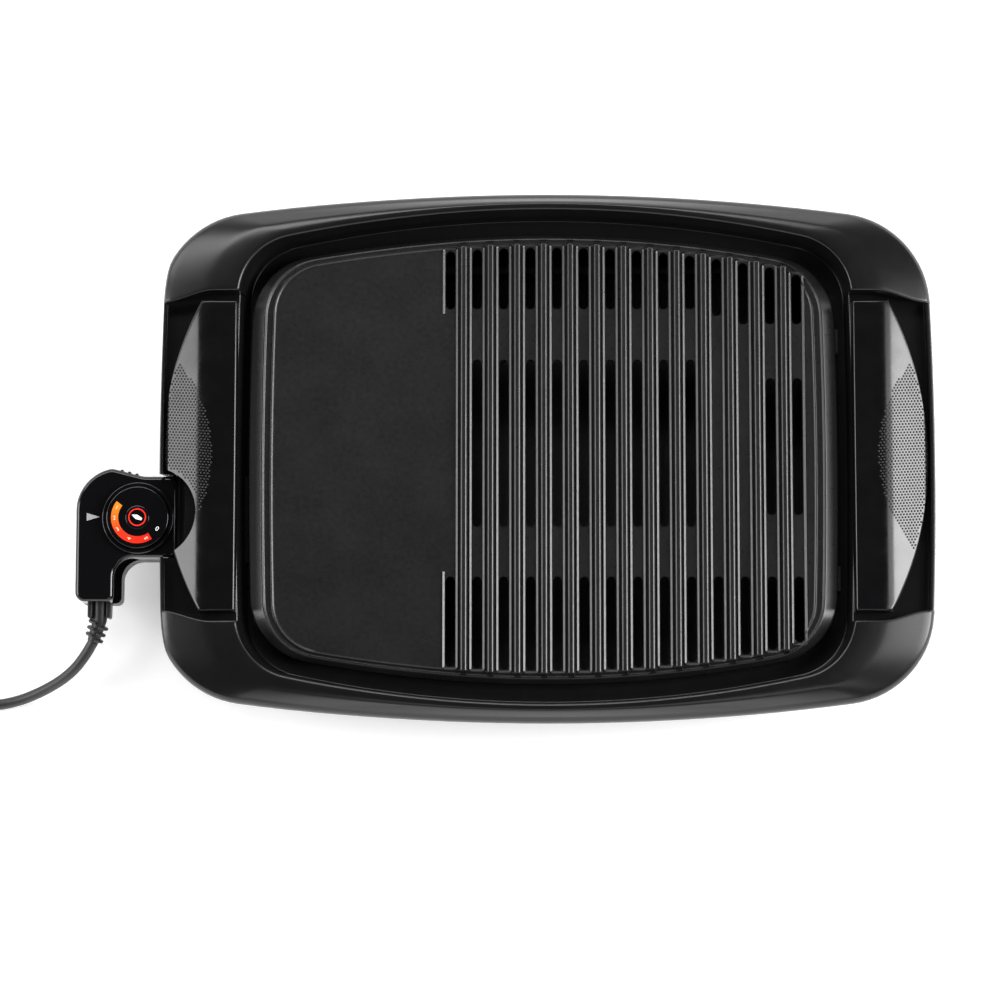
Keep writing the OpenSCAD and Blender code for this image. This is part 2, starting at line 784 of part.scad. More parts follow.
module dial_knob() {
  color([0.02, 0.02, 0.024]) griddle() difference() {
    disc(dial_x, dial_y, control_z + 0.4, control_z + 6, dial_r);
    disc(dial_x, dial_y, control_z, control_z + 4, 3);
  }
}

module dial_spindle() {
  color([0.75, 0.75, 0.77]) griddle() disc(dial_x, dial_y, control_z - 11, control_z + 4, 3);
}

// Coloured band that shows the heat settings
module dial_scale() {
  color([0.9, 0.3, 0.08]) griddle() translate([dial_x, dial_y, control_z + 6]) rotate(142)
    rotate_extrude(angle = 163) translate([12.2, 0]) square([4.6, 0.3]);
}

module dial_cap() {
  color([0.6, 0.06, 0.04]) griddle() disc(dial_x, dial_y, control_z + 6, control_z + 6.6, 7.5);
}

// ---------------------------------------------------------------- cord

// Route of the cord from the boot to the coil, laid down on the table
cord_route = [
  [-293, -116.4, 33.4], [-297, -123, 31.5], [-301.5, -129, 29], [-306.5, -134.2, 25.8],
  [-312.5, -138.8, 22], [-319, -142.6, 17.8], [-326, -146, 13.6], [-333.5, -149.1, 9.8],
  [-341, -151.7, 6.8], [-349, -153.8, 4.9], [-357, -155.2, 4.2], [-366, -156.1, 4.1],
  [-378, -156.5, 4.1], [-391, -156.5, 4.1]
];
coil_place = [-416, -111];
coil_z = [0.6, 14.7];
plug_x = coil_place.x - 42;
plug_z = 17.2;
end_route = [
  [plug_x, -88, 11.6], [plug_x, -83, 12.4], [plug_x, -78, 14], [plug_x, -74, 15.8], [plug_x, -71, 17.2]
];

// A round tube through 3D points
module tube_along(points, r, sides = 10) {
  last = len(points) - 1;
  ways = [for (i = [0:last]) points[min(i + 1, last)] - points[max(i - 1, 0)]];
  rings = [
    for (i = [0:last])
      let (t = ways[i] / norm(ways[i]), u = cross(t, [0, 0, 1]) / norm(cross(t, [0, 0, 1])), v = cross(u, t))
        for (k = [0:sides - 1]) points[i] + r * (cos(360 * k / sides) * u + sin(360 * k / sides) * v)
  ];
  skin = [
    for (i = [0:last - 1])
      for (k = [0:sides - 1])
        let (a = i * sides + k, b = i * sides + (k + 1) % sides)
          for (f = [[a, a + sides, b], [b, a + sides, b + sides]]) f
  ];
  caps = [[for (k = [0:sides - 1]) k], [for (k = [sides - 1:-1:0]) last * sides + k]];
  polyhedron(rings, concat(skin, caps));
}

module cord_run() {
  color([0.05, 0.05, 0.055]) griddle() tube_along(cord_route, cord_d / 2);
}

module cord_coil() {
  color([0.05, 0.05, 0.055]) griddle() translate([coil_place.x, coil_place.y, coil_z[0]]) difference() {
    cylinder(h = coil_z[1] - coil_z[0], r = coil_r + 1.5 * cord_d, $fn = 96);
    translate([0, 0, -1]) cylinder(h = 40, r = coil_r - 1.5 * cord_d, $fn = 96);
  }
}

module cord_end() {
  color([0.05, 0.05, 0.055]) griddle() tube_along(end_route, cord_d / 2);
}

module cord_tie() {
  inner = coil_r - 1.5 * cord_d;
  outer = coil_r + 1.5 * cord_d;
  color([0.15, 0.15, 0.15]) griddle() translate([coil_place.x, coil_place.y, 0]) rotate(50) difference() {
    block([inner - 1.1, -4, 0], [outer + 0.9, 4, coil_z[1] + 0.7]);
    block([inner - 0.5, -5, coil_z[0] - 0.1], [outer + 0.3, 5, coil_z[1] + 0.1]);
  }
}

plug_y = -71;
plug_len = 51;
pin_gap = 19;
pin_r = 2.4;
pin_root_r = 2;

module mains_plug() {
  color([0.04, 0.04, 0.045]) griddle() translate([plug_x, plug_y, plug_z]) rotate([-90, 0, 0]) difference() {
    union() {
      cylinder(h = 17, r1 = 5, r2 = 7.5);
      for (i = [0:3]) translate([0, 0, 2 + 3.4 * i]) cylinder(h = 1.6, r = 6.8 + 0.4 * i);
      translate([0, 0, 15]) cylinder(h = 8, r1 = 12, r2 = 16.9);
      translate([0, 0, 23]) cylinder(h = plug_len - 23, r = 16.9);
    }
    for (s = [-1, 1]) translate([s * pin_gap / 2, 0, plug_len - 11]) cylinder(h = 20, r = pin_root_r);
    for (s = [-1, 1]) translate([-3, s * 16.4 - 2, 33]) cube([6, 4, 30]);
  }
}

module plug_pins() {
  color([0.8, 0.8, 0.78]) griddle() for (s = [-1, 1])
    translate([plug_x + s * pin_gap / 2, plug_y + plug_len, plug_z]) rotate([-90, 0, 0]) {
      translate([0, 0, -11]) cylinder(h = 12, r = pin_root_r);
      cylinder(h = 17, r = pin_r);
      translate([0, 0, 17]) sphere(r = pin_r);
    }
}

module plug_earth_clips() {
  color([0.85, 0.7, 0.35]) griddle() translate([plug_x, plug_y, plug_z]) rotate([-90, 0, 0])
    for (s = [-1, 1]) translate([-2.6, s * 15.2 - 0.5, 33.2]) cube([5.2, 1, 17]);
}

base_shell();
bottom_cover();
left_handle();
right_handle();
heat_shield();
tray_guides();
heating_element();
element_seals();
element_brackets();
element_clips();
bracket_screws();
terminal_block();
contact_pins();
earth_pin();
inlet_shroud();
plate_rests();
rubber_feet();
cover_screws();
handle_screws();
cooking_plate();
drip_tray();
tray_front();
tray_rivets();
control_top();
control_bottom();
dial_bezel();
arrow_mark();
control_collar();
socket_block();
socket_sleeves();
earth_blade();
probe_rod();
thermostat_switch();
spindle_bush();
lead_wires();
control_screws();
strain_relief();
cord_run();
cord_coil();
cord_end();
cord_tie();
mains_plug();
plug_pins();
plug_earth_clips();
dial_knob();
dial_spindle();
dial_scale();
dial_cap();
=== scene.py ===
"""Looks of a table-top electric griddle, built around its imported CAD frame.

Places are given in millimetres from the table under the middle of the griddle, as in the CAD source,
and at() turns them into metres in the frame.
"""

import math
from collections import namedtuple

import bmesh
import bpy
from mathutils import Matrix, Vector


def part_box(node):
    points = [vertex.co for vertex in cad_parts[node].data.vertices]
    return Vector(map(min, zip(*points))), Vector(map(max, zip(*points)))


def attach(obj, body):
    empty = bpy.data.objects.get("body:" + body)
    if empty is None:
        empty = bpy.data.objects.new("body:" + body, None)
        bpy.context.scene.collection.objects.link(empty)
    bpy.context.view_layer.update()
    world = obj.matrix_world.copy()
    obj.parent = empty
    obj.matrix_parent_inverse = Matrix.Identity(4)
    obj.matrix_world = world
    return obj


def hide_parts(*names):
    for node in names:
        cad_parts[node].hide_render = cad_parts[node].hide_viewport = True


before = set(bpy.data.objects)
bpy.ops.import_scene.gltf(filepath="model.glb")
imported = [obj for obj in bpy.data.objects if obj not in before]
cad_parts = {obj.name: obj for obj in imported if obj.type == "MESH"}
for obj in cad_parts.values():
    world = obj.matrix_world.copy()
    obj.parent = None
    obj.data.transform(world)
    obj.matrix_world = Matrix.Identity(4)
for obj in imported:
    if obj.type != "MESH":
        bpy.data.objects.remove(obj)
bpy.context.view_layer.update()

MM = 0.001
PLATE_LOW, PLATE_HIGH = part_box("cooking_plate")
MID_X = (PLATE_LOW.x + PLATE_HIGH.x) / 2


def at(x, y, z):
    """A point in millimetres from under the griddle's middle, in the frame's metres."""
    return Vector((MID_X + x * MM, y * MM, z * MM))


# ---------------- driving dimensions, in millimetres

RIM_Z = 76.0
BODY_W, BODY_D = 497.0, 342.0
SIDE_BOW, END_BOW, BODY_CORNER = 1500.0, 2350.0, 61.0
WALL_LEAN = 13.0
BASE_Z = 4.0
WELL_W, WELL_D = 391.0, 317.5
WELL_BOW, WELL_END_BOW, WELL_CORNER = 765.0, 4000.0, 39.5
LEDGE_Z = 47.0
PANEL_Z = 58.5
PLATE_W, PLATE_D = 373.0, 291.0
PLATE_BOW, PLATE_END_BOW, PLATE_CORNER = 790.0, 3000.0, 44.0
PLATE_Z = 60.0
SLOT_COLUMNS, SLOT_PITCH, SLOT_W, FIRST_SLOT_X = 14, 17.15, 6.2, -62.4
HANDLE_LEN, HANDLE_Z, HANDLE_IN, HANDLE_OUT, HANDLE_FLAT = 200.0, 74.0, 195.5, 245.0, 218.5
HANDLE_SLOPE = math.radians(25)
BAY_X, BAY_Y, BAY_R = -253.5, -36.0, 29.0
DIAL_X, DIAL_Y = -262.5, -39.0
CONTROL_Z, SPLIT_Z, CONTROL_FLOOR = 57.0, 40.0, 21.0
CONTROL_LEFT, CONTROL_RIGHT = DIAL_X - 40, DIAL_X + 25
AXIS_Z = 42.0
LEG_END = DIAL_Y - 53.3
ENTRY_X, ENTRY_Z = CONTROL_LEFT + 14, 36.0
CORD_D = 7.0


# ---------------- camera

VIEW_D, VIEW_TILT, VIEW_W = 2200.0, math.radians(7), 636.0
AIM_X, AIM_Y = -30.55, -29.5
SENSOR_W = 36


def link_new(name, data):
    """A new object that holds data, in the scene."""
    thing = bpy.data.objects.new(name, data)
    bpy.context.scene.collection.objects.link(thing)
    return thing


def make_camera():
    data = bpy.data.cameras.new("camera")
    data.sensor_width = SENSOR_W
    data.lens = SENSOR_W * VIEW_D / VIEW_W
    data.clip_start, data.clip_end = 0.05, 20
    camera = link_new("camera", data)
    camera.location = at(AIM_X, AIM_Y - VIEW_D * math.sin(VIEW_TILT), RIM_Z + VIEW_D * math.cos(VIEW_TILT))
    camera.rotation_euler = (VIEW_TILT, 0, 0)
    bpy.context.scene.camera = camera


make_camera()


# ---------------- materials

class Nodes:
    """A node material under construction: one Principled shader and short ways to feed it."""

    def __init__(self, name):
        self.material = bpy.data.materials.new(name)
        self.material.use_nodes = True
        self.tree = self.material.node_tree
        self.shader = self.tree.nodes["Principled BSDF"]
        self.place = self.tree.nodes.new("ShaderNodeTexCoord").outputs["Object"]
        self.bumps = None

    def link(self, a, b):
        self.tree.links.new(a, b)

    def put(self, socket, value):
        """Sets one of the shader's own sockets."""
        self.shader.inputs[socket].default_value = value

    def node(self, kind, source, socket="Vector", **values):
        """A new node that source feeds. A value's name is its socket's, with _ for a space."""
        node = self.tree.nodes.new("ShaderNode" + kind)
        for name, value in values.items():
            node.inputs[name.replace("_", " ")].default_value = value
        self.link(source, node.inputs[socket])
        return node

    def noise(self, size_mm, detail=3.0, rough=0.5, stretch=(1, 1, 1)):
        """Noise whose features are about size_mm across."""
        place = self.node("Mapping", self.place, Scale=stretch).outputs["Vector"]
        grain = self.node("TexNoise", place, Scale=1 / (size_mm * MM), Detail=detail, Roughness=rough)
        return grain.outputs["Fac"]

    def cells(self, size_mm):
        return self.node("TexVoronoi", self.place, Scale=1 / (size_mm * MM)).outputs["Distance"]

    def span(self, value, low, high, start=0.3, end=0.7):
        """value, which runs from start to end, as low to high."""
        node = self.node("MapRange", value, "Value", From_Min=start, From_Max=end, To_Min=low, To_Max=high)
        return node.outputs["Result"]

    def mix(self, value, first, second):
        """first where value is 0 and second where it is 1, each a colour or what gives one."""
        node = self.node("Mix", value, "Factor")
        node.data_type = "RGBA"
        for socket, colour in zip((node.inputs[6], node.inputs[7]), (first, second)):
            if hasattr(colour, "links"):
                self.link(colour, socket)
            else:
                socket.default_value = (*colour, 1)
        return node.outputs[2]

    def bump(self, height, depth_mm):
        """Adds to the bumps that there are so far."""
        node = self.node("Bump", height, "Height", Strength=1.0, Distance=depth_mm * MM)
        if self.bumps:
            self.link(self.bumps, node.inputs["Normal"])
        self.bumps = node.outputs["Normal"]
        self.link(self.bumps, self.shader.inputs["Normal"])

    def colour(self, value):
        self.link(value, self.shader.inputs["Base Color"])

    def rough(self, value):
        self.link(value, self.shader.inputs["Roughness"])


def moulded(name, dark, light, rough, grain_mm, grain_depth):
    """Moulded plastic: fine grain, faint flow in the colour, and handling marks in the roughness."""
    n = Nodes(name)
    n.colour(n.mix(n.span(n.noise(38, 4), 0, 1), dark, light))
    n.rough(n.span(n.noise(9, 5, 0.6), rough * 0.95, rough * 1.06))
    n.bump(n.noise(grain_mm, 2), grain_depth)
    return n.material


def glossy(name, base, rough, shine=0.5):
    """Polished black plastic with a little dust and the shallow waviness of a moulding."""
    n = Nodes(name)
    dust = n.span(n.noise(0.7, 3, 0.7), 0, 1, 0.62, 0.85)
    n.colour(n.mix(dust, base, tuple(c * 1.6 + 0.004 for c in base)))
    n.rough(n.span(n.noise(14, 4, 0.6), rough * 0.85, rough * 1.25))
    n.bump(n.noise(22, 1), 0.012)
    n.put("Specular IOR Level", shine)
    return n.material


def coated(name, dark, light, rough):
    """Non-stick coating over cast metal: a fine orange peel with sparse pale specks."""
    n = Nodes(name)
    specks = n.span(n.cells(1.1), 1, 0, 0.05, 0.16)
    body = n.mix(n.span(n.noise(24, 4), 0, 1), dark, light)
    n.colour(n.mix(specks, body, tuple(c * 1.5 + 0.004 for c in light)))
    n.rough(n.span(n.noise(3, 4, 0.6), rough * 0.88, rough * 1.12))
    n.bump(n.noise(0.9, 3, 0.6), 0.008)
    n.bump(n.noise(7, 2), 0.008)
    return n.material


def metal(name, tint, rough, brush=(1, 1, 1), depth=0.01, stain=None):
    """Bare or plated metal with drawing marks along one axis."""
    n = Nodes(name)
    darker = tuple(c * 0.82 for c in tint)
    shade = n.mix(n.span(n.noise(16, 4), 0, 1), darker, tint)
    if stain:
        shade = n.mix(n.span(n.noise(11, 5, 0.7), 0, 0.8, 0.45, 0.75), shade, stain)
    n.colour(shade)
    n.put("Metallic", 1)
    marks = n.noise(1.2, 3, 0.6, brush)
    n.rough(n.span(marks, rough * 0.8, rough * 1.25))
    n.bump(marks, depth)
    return n.material


def matt(name, dark, light, rough, grain_mm, depth, sheen=0.0):
    """Rubber, ceramic and other dull materials."""
    n = Nodes(name)
    n.colour(n.mix(n.span(n.noise(12, 5, 0.6), 0, 1), dark, light))
    n.rough(n.span(n.noise(4, 4), rough * 0.92, min(1.0, rough * 1.08)))
    n.bump(n.noise(grain_mm, 3), depth)
    n.put("Sheen Weight", sheen)
    return n.material


def printed(name, low, high, rough):
    """Screen-printed ink: nearly even, a little thinner in places."""
    n = Nodes(name)
    n.colour(n.mix(n.span(n.noise(1.5, 3), 0, 1), low, high))
    n.rough(n.span(n.noise(2, 3), rough * 0.9, rough * 1.1))
    n.bump(n.noise(0.4, 2), 0.004)
    return n.material


HEAT_START = 40
HEAT_STOPS = [(0.0, (0.9, 0.26, 0.012)), (0.1, (0.86, 0.15, 0.008)), (0.22, (0.78, 0.03, 0.005)),
              (0.42, (0.66, 0.008, 0.003))]


def heat_ink(name):
    """Ink of the heat scale, from amber to red round the piece's own origin, which is the dial's centre."""
    n = Nodes(name)
    turn = n.node("Mapping", n.place, Rotation=(0, 0, math.radians(HEAT_START)))
    wheel = n.node("TexGradient", turn.outputs["Vector"])
    wheel.gradient_type = "RADIAL"
    ramp = n.node("ValToRGB", wheel.outputs["Fac"], "Fac")
    stops = ramp.color_ramp.elements
    stops[1].position = HEAT_STOPS[-1][0]
    for position, _colour in HEAT_STOPS[1:-1]:
        stops.new(position)
    for stop, (_position, colour) in zip(stops, HEAT_STOPS):
        stop.color = (*colour, 1)
    n.colour(n.mix(n.span(n.noise(1.5, 3), 0, 0.08), ramp.outputs["Color"], (0.9, 0.1, 0.02)))
    n.rough(n.span(n.noise(2, 3), 0.3, 0.4))
    return n.material


def grey(level, blue=None):
    return (level, level, blue or level)


SATIN = moulded("satin black plastic", grey(0.004, 0.0044), grey(0.006, 0.0065), 0.25, 0.45, 0.004)
DULL = moulded("dull black plastic", grey(0.009, 0.0095), grey(0.013, 0.0138), 0.45, 0.5, 0.02)
GLOSS = glossy("gloss black plastic", grey(0.0035, 0.004), 0.085)
SEMI = glossy("semi-gloss handle plastic", grey(0.0032, 0.0036), 0.17)
# Painted shade: the lower housing and the collar get a slightly darker copy of the black plastic with its
# reflection turned well down, so that they read as shaded; it is also rougher, like the real lower part.
SHADED_UNDER = glossy("lower housing plastic with painted shade", grey(0.003, 0.0034), 0.3, 0.16)
PIANO = glossy("polished dial plastic", grey(0.003, 0.0035), 0.05)
COATING = coated("non-stick coating", grey(0.008, 0.0084), grey(0.0115, 0.012), 0.3)
STEEL = metal("zinc-plated steel", grey(0.62, 0.64), 0.3, (1, 0.15, 1))
SHEATH = metal("element sheath", (0.2, 0.18, 0.165), 0.45, (0.2, 1, 1), 0.02, (0.09, 0.065, 0.05))
PAN = coated("drip tray coating", grey(0.014, 0.015), grey(0.02, 0.021), 0.42)
BLUED = metal("heat-blackened steel", grey(0.06, 0.066), 0.45, (1, 0.15, 1))
NICKEL = metal("nickel plate", (0.74, 0.71, 0.66), 0.18, (1, 0.3, 1), 0.004)
BRASS = metal("brass", (0.78, 0.56, 0.25), 0.28, (1, 0.3, 1), 0.006)
CERAMIC = matt("steatite ceramic", (0.7, 0.66, 0.57), (0.8, 0.77, 0.7), 0.55, 0.6, 0.02)
SILICONE = matt("black silicone", grey(0.012), grey(0.018), 0.6, 1.2, 0.02, 0.1)
RUBBER = matt("foot rubber", grey(0.035, 0.036), grey(0.055, 0.056), 0.75, 1.0, 0.05, 0.1)
CORD_SKIN = matt("cord rubber", grey(0.013, 0.0135), grey(0.021, 0.022), 0.46, 0.9, 0.02, 0.05)
PHENOLIC = matt("phenolic", (0.13, 0.055, 0.03), (0.19, 0.085, 0.045), 0.4, 0.5, 0.02)
LEADS = matt("lead insulation", (0.28, 0.1, 0.03), (0.36, 0.15, 0.05), 0.45, 1.5, 0.01)
TIE = matt("tie", grey(0.02), grey(0.035), 0.6, 0.8, 0.03)
MARK_GREY = printed("grey print", grey(0.3), grey(0.36), 0.4)
MARK_WHITE = printed("white print", grey(0.78), grey(0.9), 0.4)
MARK_WARM = printed("warm white print", (1.0, 0.62, 0.36), (1.0, 0.75, 0.5), 0.4)
MARK_RED = printed("red print", (0.72, 0.016, 0.008), (0.86, 0.03, 0.012), 0.35)
SCALE_INK = heat_ink("heat scale ink")


# ---------------- making pieces

def finished(thing, finish):
    thing.data.materials.clear()
    thing.data.materials.append(finish)
    return thing


def evaluated_mesh(thing):
    """The mesh of thing with its modifiers applied."""
    return bpy.data.meshes.new_from_object(thing.evaluated_get(bpy.context.evaluated_depsgraph_get()))


def apply_modifiers(thing):
    mesh = evaluated_mesh(thing)
    thing.modifiers.clear()
    thing.data = mesh


def solid(name, points, faces, finish):
    """A closed mesh from points in millimetres, its normals turned outward."""
    mesh = bpy.data.meshes.new(name)
    mesh.from_pydata([at(*p) for p in points], [], faces)
    work = bmesh.new()
    work.from_mesh(mesh)
    bmesh.ops.remove_doubles(work, verts=work.verts, dist=1e-7)
    bmesh.ops.recalc_face_normals(work, faces=work.faces)
    work.to_mesh(mesh)
    work.free()
    return finished(link_new(name, mesh), finish)


def joined(name, parts):
    """Several objects as one."""
    work = bmesh.new()
    for part in parts:
        part.data.transform(part.matrix_world)
        work.from_mesh(part.data)
    mesh = bpy.data.meshes.new(name)
    work.to_mesh(mesh)
    work.free()
    finish = parts[0].data.materials[0]
    for part in parts:
        bpy.data.objects.remove(part)
    return finished(link_new(name, mesh), finish)


def combine(base, other, operation):
    """base with other cut from it, added to it or kept in common, and other used up."""
    modifier = base.modifiers.new("combine", "BOOLEAN")
    modifier.object = other
    modifier.operation = operation
    modifier.solver = "MANIFOLD"
    apply_modifiers(base)
    bpy.data.objects.remove(other)
    return base


def smooth(thing, sharp):
    """Smooth shading, with edges over that many degrees kept sharp."""
    thing.data.shade_smooth()
    thing.data.set_sharp_from_angle(angle=math.radians(sharp))
    thing.modifiers.new("even normals", "WEIGHTED_NORMAL").keep_sharp = True
    return thing


def bevel(thing, width_mm, angle, segments=2):
    """Rounds the edges over that many degrees."""
    modifier = thing.modifiers.new("rounded edges", "BEVEL")
    modifier.width = width_mm * MM
    modifier.segments = segments
    modifier.limit_method = "ANGLE"
    modifier.angle_limit = math.radians(angle)


def soften(thing, width_mm):
    """Real rounded edges on a hard-edged piece."""
    flat = thing.modifiers.new("one face per flat", "DECIMATE")
    flat.decimate_type = "DISSOLVE"
    flat.angle_limit = math.radians(0.4)
    bevel(thing, width_mm, 32)
    thing.data.shade_smooth()
    thing.modifiers.new("even normals", "WEIGHTED_NORMAL")


def settle(thing, body, slot, *nodes):
    """Attaches a finished piece to its body and hides the CAD nodes that it stands for; slot is not used."""
    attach(thing, body)
    if nodes:
        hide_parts(*nodes)


def rings_solid(name, rings, finish, closed=False):
    """A loft through rings of equal length: capped at its ends, or closed on itself."""
    count = len(rings[0])
    points = [p for ring in rings for p in ring]
    faces = []
    for k in range(len(rings) if closed else len(rings) - 1):
        nxt = (k + 1) % len(rings)
        for i in range(count):
            j = (i + 1) % count
            faces.append((k * count + i, k * count + j, nxt * count + j, nxt * count + i))
    if not closed:
        faces.append(tuple(range(count)))
        faces.append(tuple((len(rings) - 1) * count + i for i in reversed(range(count))))
    return solid(name, points, faces, finish)


def block(name, low, high, finish):
    """A plain box, used only to cut or to build up other pieces."""
    (x0, y0, z0), (x1, y1, z1) = low, high
    rings = [[(x0, y0, z), (x1, y0, z), (x1, y1, z), (x0, y1, z)] for z in (z0, z1)]
    return rings_solid(name, rings, finish)


def cut(thing, low, high):
    """thing with a box cut from it."""
    return combine(thing, block("cut", low, high, thing.data.materials[0]), "DIFFERENCE")


def circle_turns(count):
    return [2 * math.pi * k / count for k in range(count)]


def level(plan, z):
    return [(x, y, z) for x, y in plan]


def lathe(name, x, y, profile, finish, count=64):
    """A turned piece about an upright axis, from (radius, z) pairs, capped at its ends."""
    turns = circle_turns(count)
    rings = [[(x + r * math.cos(a), y + r * math.sin(a), z) for a in turns] for r, z in profile]
    return rings_solid(name, rings, finish)


def arc(cx, cy, r, start, end, steps):
    """Points of an arc, with its angles in degrees."""
    turns = [math.radians(start + (end - start) * i / steps) for i in range(steps + 1)]
    return [(cx + r * math.cos(t), cy + r * math.sin(t)) for t in turns]


# ---------------- bowed outlines

# A bowed rectangle: half its sizes, and the radii of its long sides, its ends and its corners
Plan = namedtuple("Plan", "half_w half_d side_r end_r corner_r")


def body_plan(inset):
    return Plan(BODY_W / 2 - inset, BODY_D / 2 - inset, SIDE_BOW - inset, END_BOW - inset, BODY_CORNER - inset)


def well_plan(grow):
    return Plan(WELL_W / 2 + grow, WELL_D / 2 + grow, WELL_BOW + grow, WELL_END_BOW + grow, WELL_CORNER + grow)


def plate_plan(dx, dy):
    corner = PLATE_CORNER - (dx + dy) / 2
    return Plan(PLATE_W / 2 - dx, PLATE_D / 2 - dy, PLATE_BOW - dy, PLATE_END_BOW - dx, corner)


def corner_of(plan):
    """Centre of the corner arc of a bowed rectangle, in the first quadrant."""
    a = Vector((0, plan.half_d - plan.side_r))
    b = Vector((plan.half_w - plan.end_r, 0))
    ra, rb = plan.side_r - plan.corner_r, plan.end_r - plan.corner_r
    gap = b - a
    span = gap.length
    reach = (ra * ra - rb * rb + span * span) / (2 * span)
    off = math.sqrt(ra * ra - reach * reach)
    u = gap / span
    return a + reach * u + off * Vector((u.y, -u.x))


def quarter_turns(plan):
    """The corner's centre, and the angles at which its arc starts and ends."""
    c = corner_of(plan)
    first = math.atan2(c.y, c.x - plan.half_w + plan.end_r)
    return c, first, math.atan2(c.y - plan.half_d + plan.side_r, c.x)


def along(plan, t):
    """Point of the first quadrant's outline.

    t is -1 at the end's middle, 0 to 1 round the corner, and 2 at the side's middle.
    """
    half_w, half_d, side_r, end_r, corner_r = plan
    c, first, last = quarter_turns(plan)
    if t < 0:
        a = first * (t + 1)
        return half_w - end_r + end_r * math.cos(a), end_r * math.sin(a)
    if t <= 1:
        a = first + (last - first) * t
        return c.x + corner_r * math.cos(a), c.y + corner_r * math.sin(a)
    a = last + (math.pi / 2 - last) * (t - 1)
    return side_r * math.cos(a), half_d - side_r + side_r * math.sin(a)


def edge_x(plan, y):
    """x of the outline's right-hand side at y, within its end and corner arcs."""
    c, first, _last = quarter_turns(plan)
    if abs(y) <= plan.end_r * math.sin(first):
        return plan.half_w - plan.end_r + math.sqrt(plan.end_r**2 - y * y)
    return c.x + math.sqrt(max(0.0, plan.corner_r**2 - (abs(y) - c.y) ** 2))


def edge_y(plan, x):
    """y of the outline's back side at x."""
    c, _first, last = quarter_turns(plan)
    if abs(x) <= plan.side_r * math.cos(last):
        return plan.half_d - plan.side_r + math.sqrt(plan.side_r**2 - x * x)
    return c.y + math.sqrt(max(0.0, plan.corner_r**2 - (abs(x) - c.x) ** 2))


def mirrored(quarter):
    """A whole loop from the points, or columns of points, of its first quadrant."""

    def flip(row, sx, sy):
        if isinstance(row[0], (int, float)):
            return (row[0] * sx, row[1] * sy, *row[2:])
        return [(p[0] * sx, p[1] * sy, *p[2:]) for p in row]

    back = quarter[-2::-1]
    loop = list(quarter)
    loop += [flip(row, -1, 1) for row in back]
    loop += [flip(row, -1, -1) for row in quarter[1:]]
    loop += [flip(row, 1, -1) for row in back[:-1]]
    return loop


QUARTER_STEPS = [-1 + i / 6 for i in range(6)] + [i / 14 for i in range(14)] + [1 + i / 12 for i in range(13)]


def outline(plan, z):
    return level(mirrored([along(plan, t) for t in QUARTER_STEPS]), z)


# ---------------- cord and coil

CORD_ROUTE = [
    (-293, -116.4, 33.4), (-297, -123, 31.5), (-301.5, -129, 29), (-306.5, -134.2, 25.8),
    (-312.5, -138.8, 22), (-319, -142.6, 17.8), (-326, -146, 13.6), (-333.5, -149.1, 9.8),
    (-341, -151.7, 6.8), (-349, -153.8, 4.9), (-357, -155.2, 4.2), (-366, -156.1, 4.1),
    (-378, -156.5, 4.1), (-391, -156.5, 4.1),
]
COIL_X, COIL_Y = -416.0, -111.0
LOWER_Z, UPPER_Z = 4.1, 11.1
# Turns of the coil in order: radius, where in the turn it starts and ends its move, and the next radius
COIL_TURNS = [(45.5, 0.8, 1.0, 38.5), (38.5, 0.8, 1.0, 31.5), (31.5, 0.8, 1.0, 35.0), (35.0, 0.4, 0.6, 42.0)]
LAST_TURN = (42.0, 0.25)
# The turn that climbs to the upper layer, and where in it the climb starts and ends
CLIMB = (2, 0.6, 0.8)
PLUG_X, PLUG_Y, PLUG_Z = COIL_X - 42, -71.0, 17.2
END_ROUTE = [
    (PLUG_X, -99, 11.2), (PLUG_X, -93, 11.3), (PLUG_X, -88, 11.6), (PLUG_X, -83, 12.4),
    (PLUG_X, -78, 14), (PLUG_X, -74, 15.8), (PLUG_X, -71, 17.2),
]


def ease(t, low=0.0, high=1.0):
    t = max(0.0, min(1.0, (t - low) / (high - low)))
    return t * t * (3 - 2 * t)


def coil_points():
    """Clockwise turns from the front: three side by side on the table, then one and a quarter on top."""
    per_turn = 24
    spots = []
    for k, (r, start, end, after) in enumerate(COIL_TURNS):
        for i in range(per_turn):
            t = i / per_turn
            up = 1.0 if k > CLIMB[0] else ease(t, *CLIMB[1:]) if k == CLIMB[0] else 0.0
            spots.append((t, r + (after - r) * ease(t, start, end), LOWER_Z + (UPPER_Z - LOWER_Z) * up))
    r, share = LAST_TURN
    spots += [(i / per_turn, r, UPPER_Z) for i in range(round(per_turn * share) + 1)]
    turns = [(math.radians(-90 - 360 * t), r, z) for t, r, z in spots]
    return [(COIL_X + r * math.cos(a), COIL_Y + r * math.sin(a), z) for a, r, z in turns]


def make_cord():
    route = CORD_ROUTE + coil_points() + END_ROUTE
    curve = bpy.data.curves.new("mains_cord", "CURVE")
    curve.dimensions = "3D"
    curve.resolution_u = 4
    curve.bevel_depth = CORD_D / 2 * MM
    curve.bevel_resolution = 6
    curve.use_fill_caps = True
    spline = curve.splines.new("BEZIER")
    spline.bezier_points.add(len(route) - 1)
    for knot, point in zip(spline.bezier_points, route):
        knot.co = at(*point)
        knot.handle_left_type = knot.handle_right_type = "AUTO"
    curve.materials.append(CORD_SKIN)
    length = sum((Vector(b) - Vector(a)).length for a, b in zip(route, route[1:])) * MM
    return link_new("mains_cord", curve), length


cord, cord_length = make_cord()
settle(cord, "control", "cord_rubber", "cord_run", "cord_coil", "cord_end")


# ---------------- base shell

CREST_SHARES = [0, 0.08, 0.16, 0.24, 0.30, 0.36, 0.42, 0.5, 0.6, 0.7, 0.8, 0.9, 1]
CREASE = 0.38
POCKET_END, POCKET_SKEW, END_ROUND, WALL_T = 107.4, 7.0, 1.2, 2.2
SKIN_T = 3.0
WELL_PUSH = 3.6
CORNER_START = 0.17


